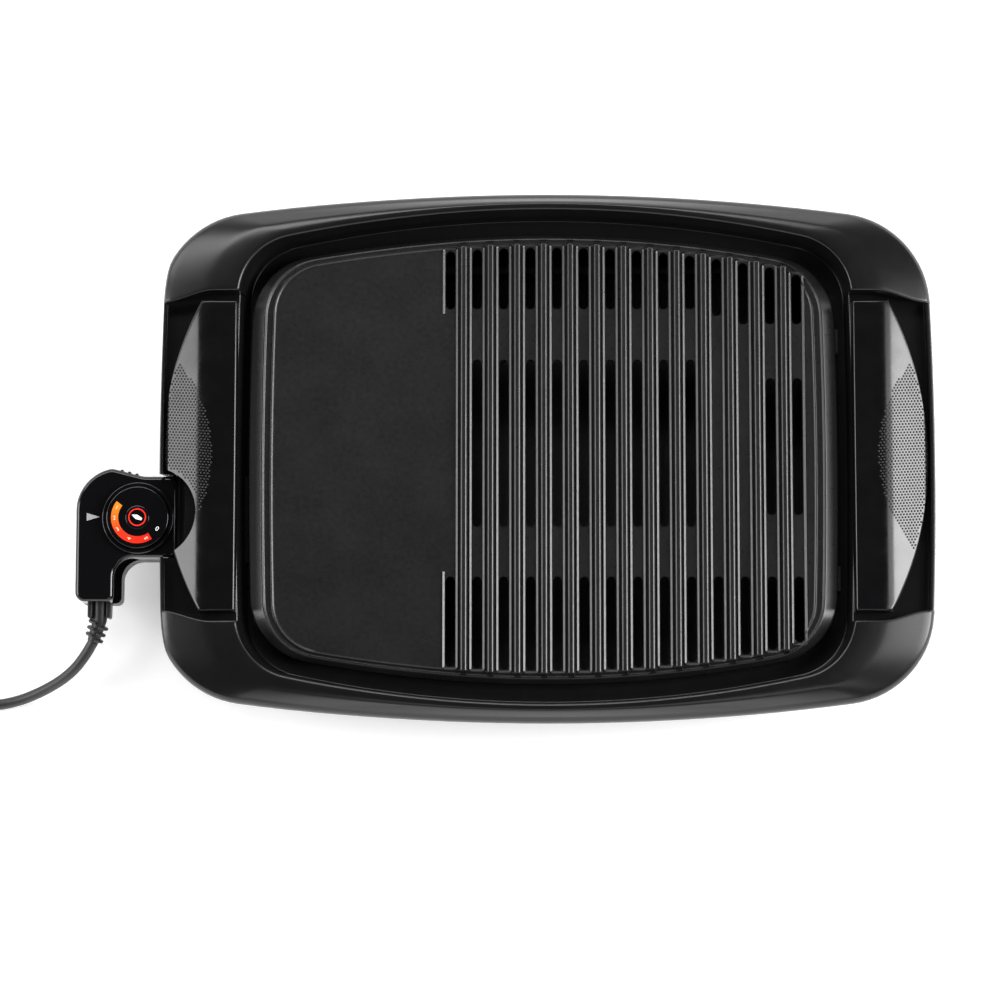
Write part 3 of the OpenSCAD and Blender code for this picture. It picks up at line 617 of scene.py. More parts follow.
def crest_z(share):
    """Height of the rim's top between the well and the outer wall: a gentle band, then a steeper slope."""
    if share <= CREASE:
        return RIM_Z - 1.2 * (share / CREASE) ** 1.6
    return RIM_Z - 1.2 - 5.8 * ((share - CREASE) / (1 - CREASE)) ** 1.1


def same(kind, value, z):
    return ((kind, value, z), (kind, value, z))


# Each column of the section: its outline, its offset and its height, where the rim is full and where a
# handle sits. "well" and "body" are offsets from those outlines, and "rim" and "panel" are shares of the
# way between the two.
RIM_COLUMNS = [
    same("well", -18.5, LEDGE_Z),
    same("well", -3, LEDGE_Z),
    same("well", -2, LEDGE_Z + 0.6),
    same("well", -1.6, LEDGE_Z + 3),
    (("well", 0, 74.2), ("well", 0, 56.9)),
    (("well", 0.35, 75.2), ("well", 0.2, 57.6)),
    (("well", 1, 75.8), ("well", 0.6, 58.1)),
    (("well", 2, RIM_Z), ("well", 1.2, 58.4)),
]
for count, share in enumerate(CREST_SHARES):
    floor_share = min(1.0, count / (len(CREST_SHARES) - 3))
    RIM_COLUMNS.append((("rim", share, crest_z(share)), ("panel", floor_share, PANEL_Z)))
RIM_COLUMNS[-2] = (RIM_COLUMNS[-2][0], ("body", 3.9, PANEL_Z + 0.1))
RIM_COLUMNS[-1] = (RIM_COLUMNS[-1][0], ("body", 3.7, PANEL_Z + 0.6))
RIM_COLUMNS += [
    (("body", 2.4, 68.4), ("body", 3.5, 64.7)),
    (("body", 1.4, 67.4), ("body", 3.1, 65.35)),
    (("body", 0.6, 66), ("body", 1.2, 65.45)),
    (("body", 0.1, 64.2), ("body", 0.3, 64.9)),
    same("body", 0, 62.5),
    same("body", 1.5, 56),
    same("body", 5.3, 39),
    same("body", 9.2, 21),
    same("body", WALL_LEAN, BASE_Z + 0.9),
    same("body", WALL_LEAN + 0.3, BASE_Z + 0.25),
    same("body", WALL_LEAN + 1, BASE_Z),
]
INNER_COLUMNS = [
    same("body", WALL_LEAN + 2.6, BASE_Z),
    (("body", 4.4, 57), ("body", 4.4, PANEL_Z - SKIN_T)),
    (("body", 6, 64), ("body", 6, PANEL_Z - SKIN_T)),
    (("well", 3, 72), ("well", 3, PANEL_Z - SKIN_T)),
    same("well", 0.3, LEDGE_Z - 2.5),
    same("well", -18.5, LEDGE_Z - 2.5),
]
ALL_COLUMNS = RIM_COLUMNS + INNER_COLUMNS


def on_outline(kind, value, spot):
    """A point of a column's outline, where spot turns a plan into a point."""
    if kind == "well":
        return spot(well_plan(value))
    if kind == "body":
        return spot(body_plan(value))
    inner = spot(well_plan(3.5))
    outer = spot(body_plan(3.5 if kind == "rim" else 4.2))
    return tuple(a + (b - a) * value for a, b in zip(inner, outer))


def round_at(t):
    return lambda plan: along(plan, t)


def across_at(y):
    return lambda plan: (edge_x(plan, y), y)


def skew_of(kind, value):
    share = value if kind in ("rim", "panel") else 1.0 if kind == "body" else 0.0
    return POCKET_SKEW * ease(share, 0.3, 1.0)


def pocket_station(y, ahead=None, phase=None):
    """The section at y where a handle sits, or a step of the rim's rounded end.

    ahead is the distance before the rim's end, which is skewed. phase runs from 0 to 1 up the rounding.
    """
    points = []
    for k, (full, low) in enumerate(ALL_COLUMNS):
        kind, value, z = low
        py = y
        if ahead is not None:
            shift = WALL_T if k >= len(RIM_COLUMNS) else 0.0
            py = POCKET_END - skew_of(full[0], full[1]) + shift
            if phase is None:
                py -= ahead
            else:
                kind, value, top = full
                drop = max(0.0, min(END_ROUND, top - z))
                py -= END_ROUND * math.cos(phase * math.pi / 2) if k < len(RIM_COLUMNS) else END_ROUND
                z = top - drop * (1 - math.sin(phase * math.pi / 2)) if top > z else z
        points.append((*on_outline(kind, value, across_at(py)), z))
    return points


def base_loft():
    """The base before its cuts: a quarter of it from the end's middle to the side's, then mirrored."""
    quarter = [pocket_station(y) for y in (0, 20, 40, 60, 80, 94)]
    quarter += [pocket_station(0, ahead=d) for d in (3.0, END_ROUND)]
    quarter += [pocket_station(0, ahead=0, phase=k / 3) for k in range(4)]
    columns = [full for full, _low in ALL_COLUMNS]
    after = [POCKET_END + 1.5 - skew_of(kind, value) for kind, value, _z in columns]
    joins = [on_outline(kind, value, round_at(CORNER_START))[1] for kind, value, _z in columns]
    for share in (0, 0.5):
        quarter.append([
            (*on_outline(kind, value, across_at(y + (end - y) * share)), z)
            for y, end, (kind, value, z) in zip(after, joins, columns)
        ])
    corner_steps = [CORNER_START + (1 - CORNER_START) * k / 13 for k in range(14)]
    side_steps = [1 + k / 12 for k in range(1, 13)]
    for t in corner_steps + side_steps:
        quarter.append([(*on_outline(kind, value, round_at(t)), z) for kind, value, z in columns])
    return rings_solid("base_body", mirrored(quarter), SATIN, closed=True)


def widen_left(thing, push_mm):
    """Moves the well's edge, and what goes with it, a little outward at the left end."""
    for vertex in thing.data.vertices:
        x, z = (vertex.co.x - MID_X) / MM, vertex.co.z / MM
        push = ease(-x, 80, 170) * (1 - 0.95 * ease(-x, 238, 249)) * ease(z, 46, 54)
        vertex.co.x -= push_mm * push * MM


TRAY_MOUTH_HALF, TRAY_MOUTH_LOW, TRAY_MOUTH_HIGH = 178.6, 9.4, 38.4
INLET_FRONT, INLET_BACK = DIAL_Y - 25.7, DIAL_Y + 28.1
INLET_X, INLET_LOW = -229, 19
INLET_WALL = 3
WINDOW_HALF_W, WINDOW_HALF_H = 25.2, 13.2
SHROUD_HALF_W, SHROUD_X, SHROUD_Z = 26, -182.5, LEDGE_Z - 0.7


def make_base():
    """The base shell with its handle pockets, tray opening and the control's inlet pocket."""
    base = cut(base_loft(), (-TRAY_MOUTH_HALF, -210, TRAY_MOUTH_LOW), (TRAY_MOUTH_HALF, -130, TRAY_MOUTH_HIGH))
    base = cut(base, (-275, INLET_FRONT, INLET_LOW), (INLET_X, INLET_BACK, 80))
    for x, z in ((-201, SHROUD_Z), (SHROUD_X, LEDGE_Z + 5)):
        base = cut(base, (x, DIAL_Y - SHROUD_HALF_W, 30), (-170, DIAL_Y + SHROUD_HALF_W, z))
    pocket = block("pocket", (-244, DIAL_Y - 32, INLET_LOW - 2),
                   (INLET_X + INLET_WALL, DIAL_Y + 32, PANEL_Z - 1), SATIN)
    pocket = cut(pocket, (-250, INLET_FRONT, INLET_LOW), (INLET_X, INLET_BACK, 80))
    pocket = cut(pocket, (-240, DIAL_Y - WINDOW_HALF_W, AXIS_Z - WINDOW_HALF_H),
                 (-220, DIAL_Y + WINDOW_HALF_W, AXIS_Z + WINDOW_HALF_H))
    base = combine(base, pocket, "UNION")
    roof = block("roof", (-196, DIAL_Y - 28, SHROUD_Z), (SHROUD_X, DIAL_Y + 28, SHROUD_Z + 2.6), SATIN)
    base = combine(base, roof, "UNION")
    widen_left(base, WELL_PUSH)
    base.name = "base_housing"
    bevel(base, 0.5, 62)
    smooth(base, 40)
    settle(base, "base", "body_plastic", "base_shell")


make_base()


# ---------------- handle covers

EDGE_R = 1.5
HANDLE_BOW = ((HANDLE_LEN / 2) ** 2 + (HANDLE_OUT - HANDLE_FLAT) ** 2) / (2 * (HANDLE_OUT - HANDLE_FLAT))
HANDLE_FALLS = [(212, 0.0), (224.5, math.tan(HANDLE_SLOPE)), (260, math.tan(HANDLE_SLOPE))]
PIP_PITCH, PIP_R, PIP_H, PIP_SINK = 2.1, 0.78, 0.5, 0.12


def handle_outer(y):
    """x of a handle's outer, curved side at y."""
    return HANDLE_OUT - HANDLE_BOW + math.sqrt(HANDLE_BOW**2 - y * y)


def handle_top(x):
    """Height of a handle's top: flat, then rolling over into its outer slope, steepest at its edge."""
    drop = 0.0
    for (x0, fall0), (x1, fall1) in zip(HANDLE_FALLS, HANDLE_FALLS[1:]):
        if x <= x0:
            break
        reach = min(x, x1)
        fall = fall0 + (fall1 - fall0) * (reach - x0) / (x1 - x0)
        drop += (fall0 + fall) / 2 * (reach - x0)
    return HANDLE_Z - drop


def edge_drop(dx, dy):
    """How far the surface is below its full height that near to two sides, with a rounded edge."""
    qx, qy = max(0.0, EDGE_R - dx), max(0.0, EDGE_R - dy)
    return EDGE_R - math.sqrt(max(0.0, EDGE_R**2 - qx * qx - qy * qy))


def spaced(length, steps):
    """Distances along a side, close together over its rounded ends."""
    near = [0.0, 0.12, 0.42, 0.9, EDGE_R]
    span = length - 2 * EDGE_R
    return near + [EDGE_R + span * k / steps for k in range(1, steps)] + [length - d for d in reversed(near)]


def handle_body(name):
    rows = [d - HANDLE_LEN / 2 for d in spaced(HANDLE_LEN, 60)]
    grid = []
    for y in rows:
        width = handle_outer(y) - HANDLE_IN
        line = []
        for d in spaced(width, 34):
            x = HANDLE_IN + d
            drop = edge_drop(min(d, width - d), HANDLE_LEN / 2 - abs(y))
            line.append((x, y, handle_top(x) - drop))
        grid.append(line)
    across = len(grid[0])
    points = [p for line in grid for p in line]
    faces = []
    for r in range(len(rows) - 1):
        for c in range(across - 1):
            a = r * across + c
            faces.append((a, a + 1, a + across + 1, a + across))
    last = (len(rows) - 1) * across
    border = list(range(across)) + [r * across + across - 1 for r in range(1, len(rows))]
    border += [last + c for c in range(across - 2, -1, -1)]
    border += [r * across for r in range(len(rows) - 2, 0, -1)]
    start = len(points)
    points += [(points[i][0], points[i][1], PANEL_Z + 0.02) for i in border]
    for k in range(len(border)):
        j = (k + 1) % len(border)
        faces.append((border[k], start + k, start + j, border[j]))
    faces.append(tuple(start + k for k in range(len(border))))
    return solid(name, points, faces, SEMI)


GRIP_IN, GRIP_BOW, GRIP_MARGIN, GRIP_HALF_LEN = 210.8, 93, 2.0, 66


def in_grip(x, y):
    """Whether a pip stands there: a leaf between the handle's outer side and an inner arc."""
    inner = GRIP_IN + GRIP_BOW - math.sqrt(max(0.0, GRIP_BOW**2 - y * y))
    return inner < x < handle_outer(y) - GRIP_MARGIN and abs(y) < GRIP_HALF_LEN


def pip_mesh(x, y, points, faces):
    """A low dome that stands square to the slope."""
    tilt = math.atan((handle_top(x - 0.1) - handle_top(x + 0.1)) / 0.2)
    base_z = handle_top(x) - PIP_SINK
    start = len(points)
    sides = 8
    for r, h in ((PIP_R, 0.0), (PIP_R * 0.88, 0.3), (PIP_R * 0.5, 0.52)):
        for k in range(sides):
            a = 2 * math.pi * k / sides
            u, v, w = r * math.cos(a), r * math.sin(a), h / 0.6 * PIP_H + PIP_SINK * (h > 0)
            points.append((x + u * math.cos(tilt) + w * math.sin(tilt), y + v,
                           base_z - u * math.sin(tilt) + w * math.cos(tilt)))
    tip = PIP_H + PIP_SINK
    points.append((x + tip * math.sin(tilt), y, base_z + tip * math.cos(tilt)))
    for ring in range(2):
        for k in range(sides):
            a, b = start + ring * sides + k, start + ring * sides + (k + 1) % sides
            faces.append((a, b, b + sides, a + sides))
    for k in range(sides):
        faces.append((start + 2 * sides + k, start + 2 * sides + (k + 1) % sides, start + 3 * sides))
    faces.append(tuple(start + k for k in reversed(range(sides))))


def handle_pips(name, clear):
    """Staggered rows of pips, tilted a little across the slope. clear says where none stands."""
    points, faces = [], []
    lean = math.tan(math.radians(6))
    row_step = PIP_PITCH * 0.866
    for r in range(-40, 41):
        for c in range(-2, 22):
            x = 208 + PIP_PITCH * (c + 0.5 * (r % 2))
            y = r * row_step + (x - 208) * lean
            if in_grip(x, y) and clear(x, y):
                pip_mesh(x, y, points, faces)
    return solid(name, points, faces, GLOSS)


def flip_x(thing):
    middle = Matrix.Translation(at(0, 0, 0))
    thing.data.transform(middle @ Matrix.Diagonal((-1, 1, 1, 1)) @ Matrix.Translation(-at(0, 0, 0)))
    thing.data.flip_normals()


def make_handle(side):
    """side is 1 for the right handle and -1 for the left one, which has a bay over the control."""
    name = "right_handle_cover" if side > 0 else "left_handle_cover"
    cover = handle_body(name)

    def clear(x, y):
        return side > 0 or math.hypot(-x - BAY_X - WELL_PUSH, y - BAY_Y) > BAY_R + 1.6

    pips = handle_pips("pips", clear)
    if side < 0:
        flip_x(cover)
        flip_x(pips)
        bay = lathe("bay", BAY_X + WELL_PUSH, BAY_Y, [(BAY_R, PANEL_Z - 1), (BAY_R, RIM_Z + 1)], GLOSS, 128)
        cover = combine(cover, bay, "DIFFERENCE")
        bevel(cover, 0.5, 50, 3)
        apply_modifiers(cover)
    cover = joined(name, [cover, pips])
    if side < 0:
        widen_left(cover, WELL_PUSH)
    smooth(cover, 50)
    settle(cover, "base", "gloss_plastic", "right_handle" if side > 0 else "left_handle")


make_handle(1)
make_handle(-1)


# ---------------- cooking plate

PLATE_LEVELS = [
    (3, 3, 55.0), (3, 3, 49.6), (0.4, 0.4, 49.6), (0, 0, 50.0), (0, 0, 56.6), (0.25, 0.2, 57.2),
    (0.8, 0.5, 57.6), (2.4, 1.1, 58.4), (5, 1.9, 59.7), (7.4, 2.7, 60.8), (7.9, 3.0, 61.1), (8.5, 3.4, 61.15),
    (9.0, 3.8, 60.8), (9.5, 4.2, 60.1), (10.2, 4.6, 59.9), (12.9, 5.5, 59.9), (13.4, 5.8, 60.6),
    (13.8, 6.1, 60.95), (14.4, 6.5, 60.95), (14.8, 6.8, 60.6), (15.4, 7.3, 60.05), (17, 8.6, PLATE_Z),
]
RIB_SECTION = [
    (-2.7, -0.6), (-2.5, 0.1), (-2.25, 0.6), (-2.0, 3.0), (-1.9, 3.4), (-1.65, 3.66), (-1.1, 3.96),
    (-0.85, 4.0), (0.85, 4.0),
    (1.1, 3.96), (1.65, 3.66), (1.9, 3.4), (2.0, 3.0), (2.25, 0.6), (2.5, 0.1), (2.7, -0.6),
]
LIP_CORNER = 1.2
LIP_SECTION = [(5.15, -0.6), (5.1, 0.1), (5.0, 0.85), (4.75, 1.0), (4.4, 0.83), (3.55, 0.3), (3.4, -0.6)]
PLATE_PUSH = 5.2
BED_LOW, BED_HIGH = AXIS_Z, 55.6
BED_SECTION = [
    (-6.5, BED_HIGH), (-6.5, BED_LOW + 0.8), (-5.7, BED_LOW), (-4, BED_LOW), (-4, BED_LOW + 4),
    (4, BED_LOW + 4), (4, BED_LOW), (5.7, BED_LOW), (6.5, BED_LOW + 0.8), (6.5, BED_HIGH),
]
STRAP_X = (-53.8, 49.1)
BED_ROUTE = [(-140, 0), (-140, 80), (117.6, 80), (117.6, DIAL_Y - 13), (-140, DIAL_Y - 13)]


def slot_x(i):
    return FIRST_SLOT_X + SLOT_PITCH * i


def slot_edge(i):
    return edge_y(plate_plan(0, 0), slot_x(i)) - 8.5


def slot_rows(i):
    """Front and back end of each slot in a column."""
    back = 96.3 if i < 10 else 92 if i == 10 else 86.5
    rows = [(back, slot_edge(i)), (-slot_edge(i), -76.7)]
    if 0 < i < 10:
        rows.append((-44.9, 63.6))
    if i > 11:
        rows.append((-37.3, 51.5))
    return rows


def stadium(x, y0, y1, r):
    return arc(x, y1 - r, r, 0, 180, 12) + arc(x, y0 + r, r, 180, 360, 12)


def prism(name, plan, z0, z1, finish):
    return rings_solid(name, [level(plan, z) for z in (z0, z1)], finish)


def rib(x):
    """One raised rib, its ends rolled down onto the plate."""
    half = edge_y(plate_plan(0, 0), x) - 5.2
    rings = []
    for back, share in ((0, 0.0), (0.15, 0.45), (0.6, 0.8), (1.3, 0.97), (2.0, 1.0)):
        rings.append([(x + u, half - back, PLATE_Z + (w * share if w > 0 else w)) for u, w in RIB_SECTION])
    rings += [[(px, -py, pz) for px, py, pz in ring] for ring in reversed(rings)]
    return rings_solid("rib", rings, COATING)


def channel_lip(i):
    """The raised lip round a whole column of slots, square at its ends."""
    x, end = slot_x(i), slot_edge(i) + 1.3
    rings = []
    for u, w in LIP_SECTION:
        plan = []
        for cx, cy, start in ((1, 1, 0), (-1, 1, 90), (-1, -1, 180), (1, -1, 270)):
            plan += arc(x + cx * 3.1, cy * (end - LIP_CORNER), LIP_CORNER + (u - 4.3), start, start + 90, 4)
        rings.append(level(plan, PLATE_Z + w))
    return rings_solid("lip", rings, COATING, closed=True)


def rounded_route(points, r):
    """A flat path with its square corners rounded."""
    steps = 8
    spots = [Vector(points[0])]
    for before, corner, after in zip(points, points[1:], points[2:]):
        p = Vector(corner)
        a, b = (Vector(before) - p).normalized(), (Vector(after) - p).normalized()
        centre = p + (a + b) * r
        for k in range(steps + 1):
            turn = math.pi / 2 * k / steps
            spots.append(centre - b * r * math.cos(turn) - a * r * math.sin(turn))
    spots.append(Vector(points[-1]))
    return spots


def swept(name, spots, section, finish):
    rings = []
    for k, p in enumerate(spots):
        way = (spots[min(k + 1, len(spots) - 1)] - spots[max(k - 1, 0)]).normalized()
        side = Vector((-way.y, way.x))
        rings.append([(p.x + side.x * u, p.y + side.y * u, z) for u, z in section])
    return rings_solid(name, rings, finish)


def make_plate():
    rings = [outline(plate_plan(dx, dy), z) for dx, dy, z in PLATE_LEVELS]
    plate = rings_solid("cooking_plate_casting", rings, COATING)
    extras = [rib(slot_x(i) + SLOT_PITCH / 2) for i in range(SLOT_COLUMNS - 1)]
    extras += [channel_lip(i) for i in range(SLOT_COLUMNS)]
    back, front = slot_rows(0)[0][0] - 3, slot_rows(0)[1][1] + 3
    first_lip = SLOT_COLUMNS - 1
    extras[first_lip] = cut(extras[first_lip], (slot_x(0) - 6, front, PLATE_Z - 0.5),
                            (slot_x(0) - SLOT_W / 2 - 0.1, back, PLATE_Z + 2))
    plate = combine(plate, joined("ribs", extras), "UNION")
    plate = combine(plate, swept("bed", rounded_route(BED_ROUTE, 15), BED_SECTION, COATING), "UNION")
    sensor = swept("bed", [Vector((-181, DIAL_Y)), Vector((-150, DIAL_Y))], BED_SECTION, COATING)
    plate = combine(plate, sensor, "UNION")
    cuts = []
    for i in range(SLOT_COLUMNS):
        for low, high in slot_rows(i):
            cuts.append(prism("slot", stadium(slot_x(i), low, high, SLOT_W / 2), 30, 70, COATING))
    plate = combine(plate, joined("slots", cuts), "DIFFERENCE")
    pockets = [
        block("pocket", (x - 6, y - 12, 30), (x + 6, y + 12, AXIS_Z + 6), COATING)
        for x in STRAP_X for y in (80, DIAL_Y - 13)
    ]
    plate = combine(plate, joined("pockets", pockets), "DIFFERENCE")
    widen_left(plate, PLATE_PUSH)
    bevel(plate, 0.25, 60)
    smooth(plate, 45)
    settle(plate, "plate", "plate_coating", "cooking_plate")


make_plate()


# ---------------- thermostat control

TOP_ROUND, BOTTOM_ROUND = 2.8, 2.0
BEZEL_SECTION = [
    (20.5, CONTROL_Z - 0.2), (20.5, 59.6), (20.65, 59.9), (20.95, 60), (22.3, 60), (22.65, 59.85),
    (22.85, 59.5), (23, 58.9), (23, CONTROL_Z - 0.2),
]
KNOB_TOP = 63.0
KNOB_PROFILE = [
    (19.4, 57.4), (19.9, 57.9), (19.9, 62.2), (19.8, 62.6), (19.55, 62.85), (19.15, KNOB_TOP), (8, KNOB_TOP),
]
CAP_PROFILE = [(7.5, 62.9), (7.5, 63.15), (7.3, 63.32), (6.8, 63.4), (2, 63.4)]
POINTER, POINTER_TURN = [(3.9, 0), (0.6, 1.5), (-3.2, 0.75), (-3.2, -0.75), (0.6, -1.5)], math.radians(155)
RIDGE_PROFILE = [(1.3, SPLIT_Z + 0.2), (1.3, 54.3), (1.1, 54.95), (0.7, 55.35), (0.25, 55.5)]
SCALE_IN, SCALE_OUT, SCALE_START, SCALE_TURN = 12.2, 16.8, 142, 163
DIGIT_PLACES = {"1": 155, "2": 182, "3": 212, "4": 250, "5": 294}
ZERO_PLACE = 331


def control_plan(g, leg_x):
    """Plan of the control's housing, made smaller by g. The leg's inner side is at leg_x."""
    y0, y1, big = DIAL_Y - 24.9, DIAL_Y + 27.3, 27.2
    arcs = [
        (CONTROL_RIGHT - 4, y0 + 4, 4 - g, -90, 0, 6),
        (CONTROL_RIGHT - 4, y1 - 4, 4 - g, 0, 90, 6),
        (CONTROL_LEFT + 45.5, y1 + 20, 20 + g, 270, 255.3, 3),
        (CONTROL_LEFT + 22.7, y1 - 3, 8 - g, 75.3, 103.5, 5),
        (CONTROL_LEFT + big, y1 - 21.65, big - g, 103.5, 180, 20),
        (CONTROL_LEFT + 6, LEG_END + 6, 6 - g, 180, 270, 9),
        (leg_x - 4, LEG_END + 4, 4 - g, -90, 0, 7),
        (leg_x + 13, y0 - 13, 13 + g, 180, 90, 12),
    ]
    return [point for numbers in arcs for point in arc(*numbers)]


def round_levels(edge_z, r, way):
    """Insets and heights of a rounded edge that starts at edge_z and runs up (way 1) or down (way -1)."""
    turns = [math.pi / 2 * k / 5 for k in range(6)]
    return [(r * (1 - math.cos(a)), edge_z + way * r * math.sin(a)) for a in turns]


def control_half(name, leg_x, levels, finish):
    return rings_solid(name, [level(control_plan(g, leg_x), z) for g, z in levels], finish)


def make_control():
    top = [(0.5, SPLIT_Z), (0.5, SPLIT_Z + 0.4), (0, SPLIT_Z + 0.7)]
    top += round_levels(CONTROL_Z - TOP_ROUND, TOP_ROUND, 1)
    cover = control_half("control_cover", DIAL_X - 15.4, top, GLOSS)
    ridges = [lathe("ridge", DIAL_X - 1.5 - 4.75 * i, DIAL_Y + 28.2 + 1.25 * i, RIDGE_PROFILE, GLOSS, 16)
              for i in range(3)]
    cover = joined("control_cover", [cover, *ridges])
    bottom = [(0.5, SPLIT_Z), (0, SPLIT_Z - 0.3)]
    bottom += round_levels(CONTROL_FLOOR + BOTTOM_ROUND, BOTTOM_ROUND, -1)
    base = control_half("control_base", DIAL_X - 11.8, bottom, SHADED_UNDER)
    for thing, node in ((cover, "control_top"), (base, "control_bottom")):
        mouth = block("mouth", (CONTROL_RIGHT - 6, DIAL_Y - 21.4, AXIS_Z - 11),
                      (CONTROL_RIGHT + 6, DIAL_Y + 21.4, AXIS_Z + 11), GLOSS)
        hull = smooth(combine(thing, mouth, "DIFFERENCE"), 50)
        settle(hull, "control", "gloss_plastic", node)


def round_dial(radius, angle):
    """x and y of a spot at radius from the dial's centre, where angle is in radians."""
    return DIAL_X + radius * math.cos(angle), DIAL_Y + radius * math.sin(angle)


def centred(thing, place):
    """Moves the object's own origin to place, a point in millimetres."""
    thing.data.transform(Matrix.Translation(-at(*place)))
    thing.location = at(*place)
    return thing


def band(name, r_in, r_out, start, turn, z0, z1, finish):
    """A flat band bent round the dial's centre."""
    section = ((r_in, z0), (r_out, z0), (r_out, z1), (r_in, z1))
    turns = [math.radians(start + turn * k / 72) for k in range(73)]
    rings = [[(*round_dial(r, a), z) for r, z in section] for a in turns]
    return rings_solid(name, rings, finish, closed=turn >= 360)


def figure(text, radius, angle, size, finish):
    """A plain figure on the dial, which stands upright when it faces the arrow on the left."""
    curve = bpy.data.curves.new("figure", "FONT")
    curve.body = text
    curve.size = size * MM
    curve.align_x, curve.align_y = "CENTER", "CENTER"
    curve.extrude = 0.05 * MM
    curve.offset = 0.06 * MM
    thing = link_new("figure", curve)
    mesh = evaluated_mesh(thing)
    bpy.data.objects.remove(thing)
    a = math.radians(angle)
    place = at(*round_dial(radius, a), KNOB_TOP + 0.2)
    mesh.transform(Matrix.Translation(place) @ Matrix.Rotation(a - math.pi, 4, "Z"))
    return finished(link_new("figure", mesh), finish)


def make_dial():
    rings = [[(*round_dial(r, a), z) for r, z in BEZEL_SECTION] for a in circle_turns(96)]
    ring = rings_solid("dial_ring", rings, GLOSS, closed=True)
    settle(smooth(ring, 60), "control", "gloss_plastic", "dial_bezel")
    knob = lathe("dial_disc", DIAL_X, DIAL_Y, KNOB_PROFILE, PIANO, 128)
    settle(smooth(knob, 50), "dial", "gloss_plastic", "dial_knob")
    scale = band("heat_scale", SCALE_IN, SCALE_OUT, SCALE_START, SCALE_TURN, 62.9, 63.12, SCALE_INK)
    settle(smooth(centred(scale, (DIAL_X, DIAL_Y, KNOB_TOP)), 50), "dial", "scale_ink", "dial_scale")
    digits = [figure(text, 14.6, angle, 3.4, MARK_WARM) for text, angle in DIGIT_PLACES.items()]
    settle(joined("heat_figures", digits), "dial", "scale_ink")
    settle(joined("off_figure", [figure("0", 14.8, ZERO_PLACE, 4.0, MARK_WHITE)]), "dial", "scale_ink")
    cap = lathe("dial_button", DIAL_X, DIAL_Y, CAP_PROFILE, PIANO)
    settle(smooth(cap, 50), "dial", "cap_red", "dial_cap")
    ring = band("dial_button_ring", 4.9, 5.75, 0, 360, 63.3, 63.46, MARK_RED)
    settle(smooth(ring, 50), "dial", "cap_red")
    c, s = math.cos(POINTER_TURN), math.sin(POINTER_TURN)
    pointer = [(DIAL_X + u * c - v * s, DIAL_Y + u * s + v * c) for u, v in POINTER]
    settle(prism("dial_button_pointer", pointer, 63.35, 63.47, MARK_WHITE), "dial", "scale_ink")


# ---------------- boot and plug

BOOT_START = Vector((ENTRY_X, LEG_END - 10, ENTRY_Z))
BOOT_END = Vector(CORD_ROUTE[0])
FINS = [(2.5, -1, 6.9), (4.7, 1, 7.0), (6.6, -1, 6.7), (9.1, 1, 6.7), (10.8, -1, 6.4), (13.4, 1, 6.3)]
FIN_T = 1.9


def boot_ring(centre, side, up, r):
    return [tuple(centre + side * (r * math.cos(a)) + up * (r * math.sin(a))) for a in circle_turns(24)]


def boot_fin(centre, way, side, up, r_out):
    """Part of a ring round the boot, with rounded edges, on the side that side points to."""
    steps = 14
    rings = []
    for k in range(steps + 1):
        a = math.radians(-78 + 156 * k / steps)
        out = side * math.cos(a) + up * math.sin(a)
        reach = r_out - 0.5 * (abs(k / steps - 0.5) * 2) ** 6
        section = [(3.2, -0.5), (reach - 0.7, -0.5), (reach - 0.2, -0.36), (reach, 0), (reach - 0.2, 0.36),
                   (reach - 0.7, 0.5), (3.2, 0.5)]
        rings.append([tuple(centre + out * r + way * (w * FIN_T)) for r, w in section])
    return rings_solid("fin", rings, CORD_SKIN)


def make_boot():
    way = (BOOT_END - BOOT_START).normalized()
    side = way.cross(Vector((0, 0, 1))).normalized()
    up = side.cross(way)
    start = Vector((ENTRY_X, LEG_END + 3, ENTRY_Z))
    rings = []
    for t in (0.0, 0.3, 0.6, 0.8):
        centre = start.lerp(BOOT_START, t)
        rings.append(boot_ring(centre, Vector((-1, 0, 0)), Vector((0, 0, 1)), 4.7))
    for t, r in ((0.0, 4.6), (0.15, 4.5), (0.4, 4.35), (0.7, 4.1), (0.93, 3.95), (0.985, 3.85), (1.0, 3.6)):
        rings.append(boot_ring(BOOT_START.lerp(BOOT_END, t), side, up, r))
    parts = [rings_solid("core", rings, CORD_SKIN)]
    for distance, hand, r in FINS:
        parts.append(boot_fin(BOOT_START + way * distance, way, side * -hand, up, r))
    for hand in (-1, 1):
        low, high = sorted((hand * 4.6, hand * 7.5))
        plan = [(ENTRY_X + low, LEG_END + 0.5), (ENTRY_X + high, LEG_END + 0.5),
                (ENTRY_X + high - 0.25, LEG_END - 8.6), (ENTRY_X + high - 0.8, LEG_END - 9.3),
                (ENTRY_X + low + 0.8, LEG_END - 9.3), (ENTRY_X + low, LEG_END - 8.6)]
        parts.append(prism("cheek", plan, ENTRY_Z - 6, ENTRY_Z + 5.6, CORD_SKIN))
    low, high = (ENTRY_X - 7, LEG_END - 9, ENTRY_Z - 4.6), (ENTRY_X + 7, LEG_END + 0.4, ENTRY_Z + 2.6)
    parts.append(block("web", low, high, CORD_SKIN))
    boot = joined("cord_boot", parts)
    bevel(boot, 0.45, 58)
    smooth(boot, 50)
    settle(boot, "control", "cord_rubber", "strain_relief")


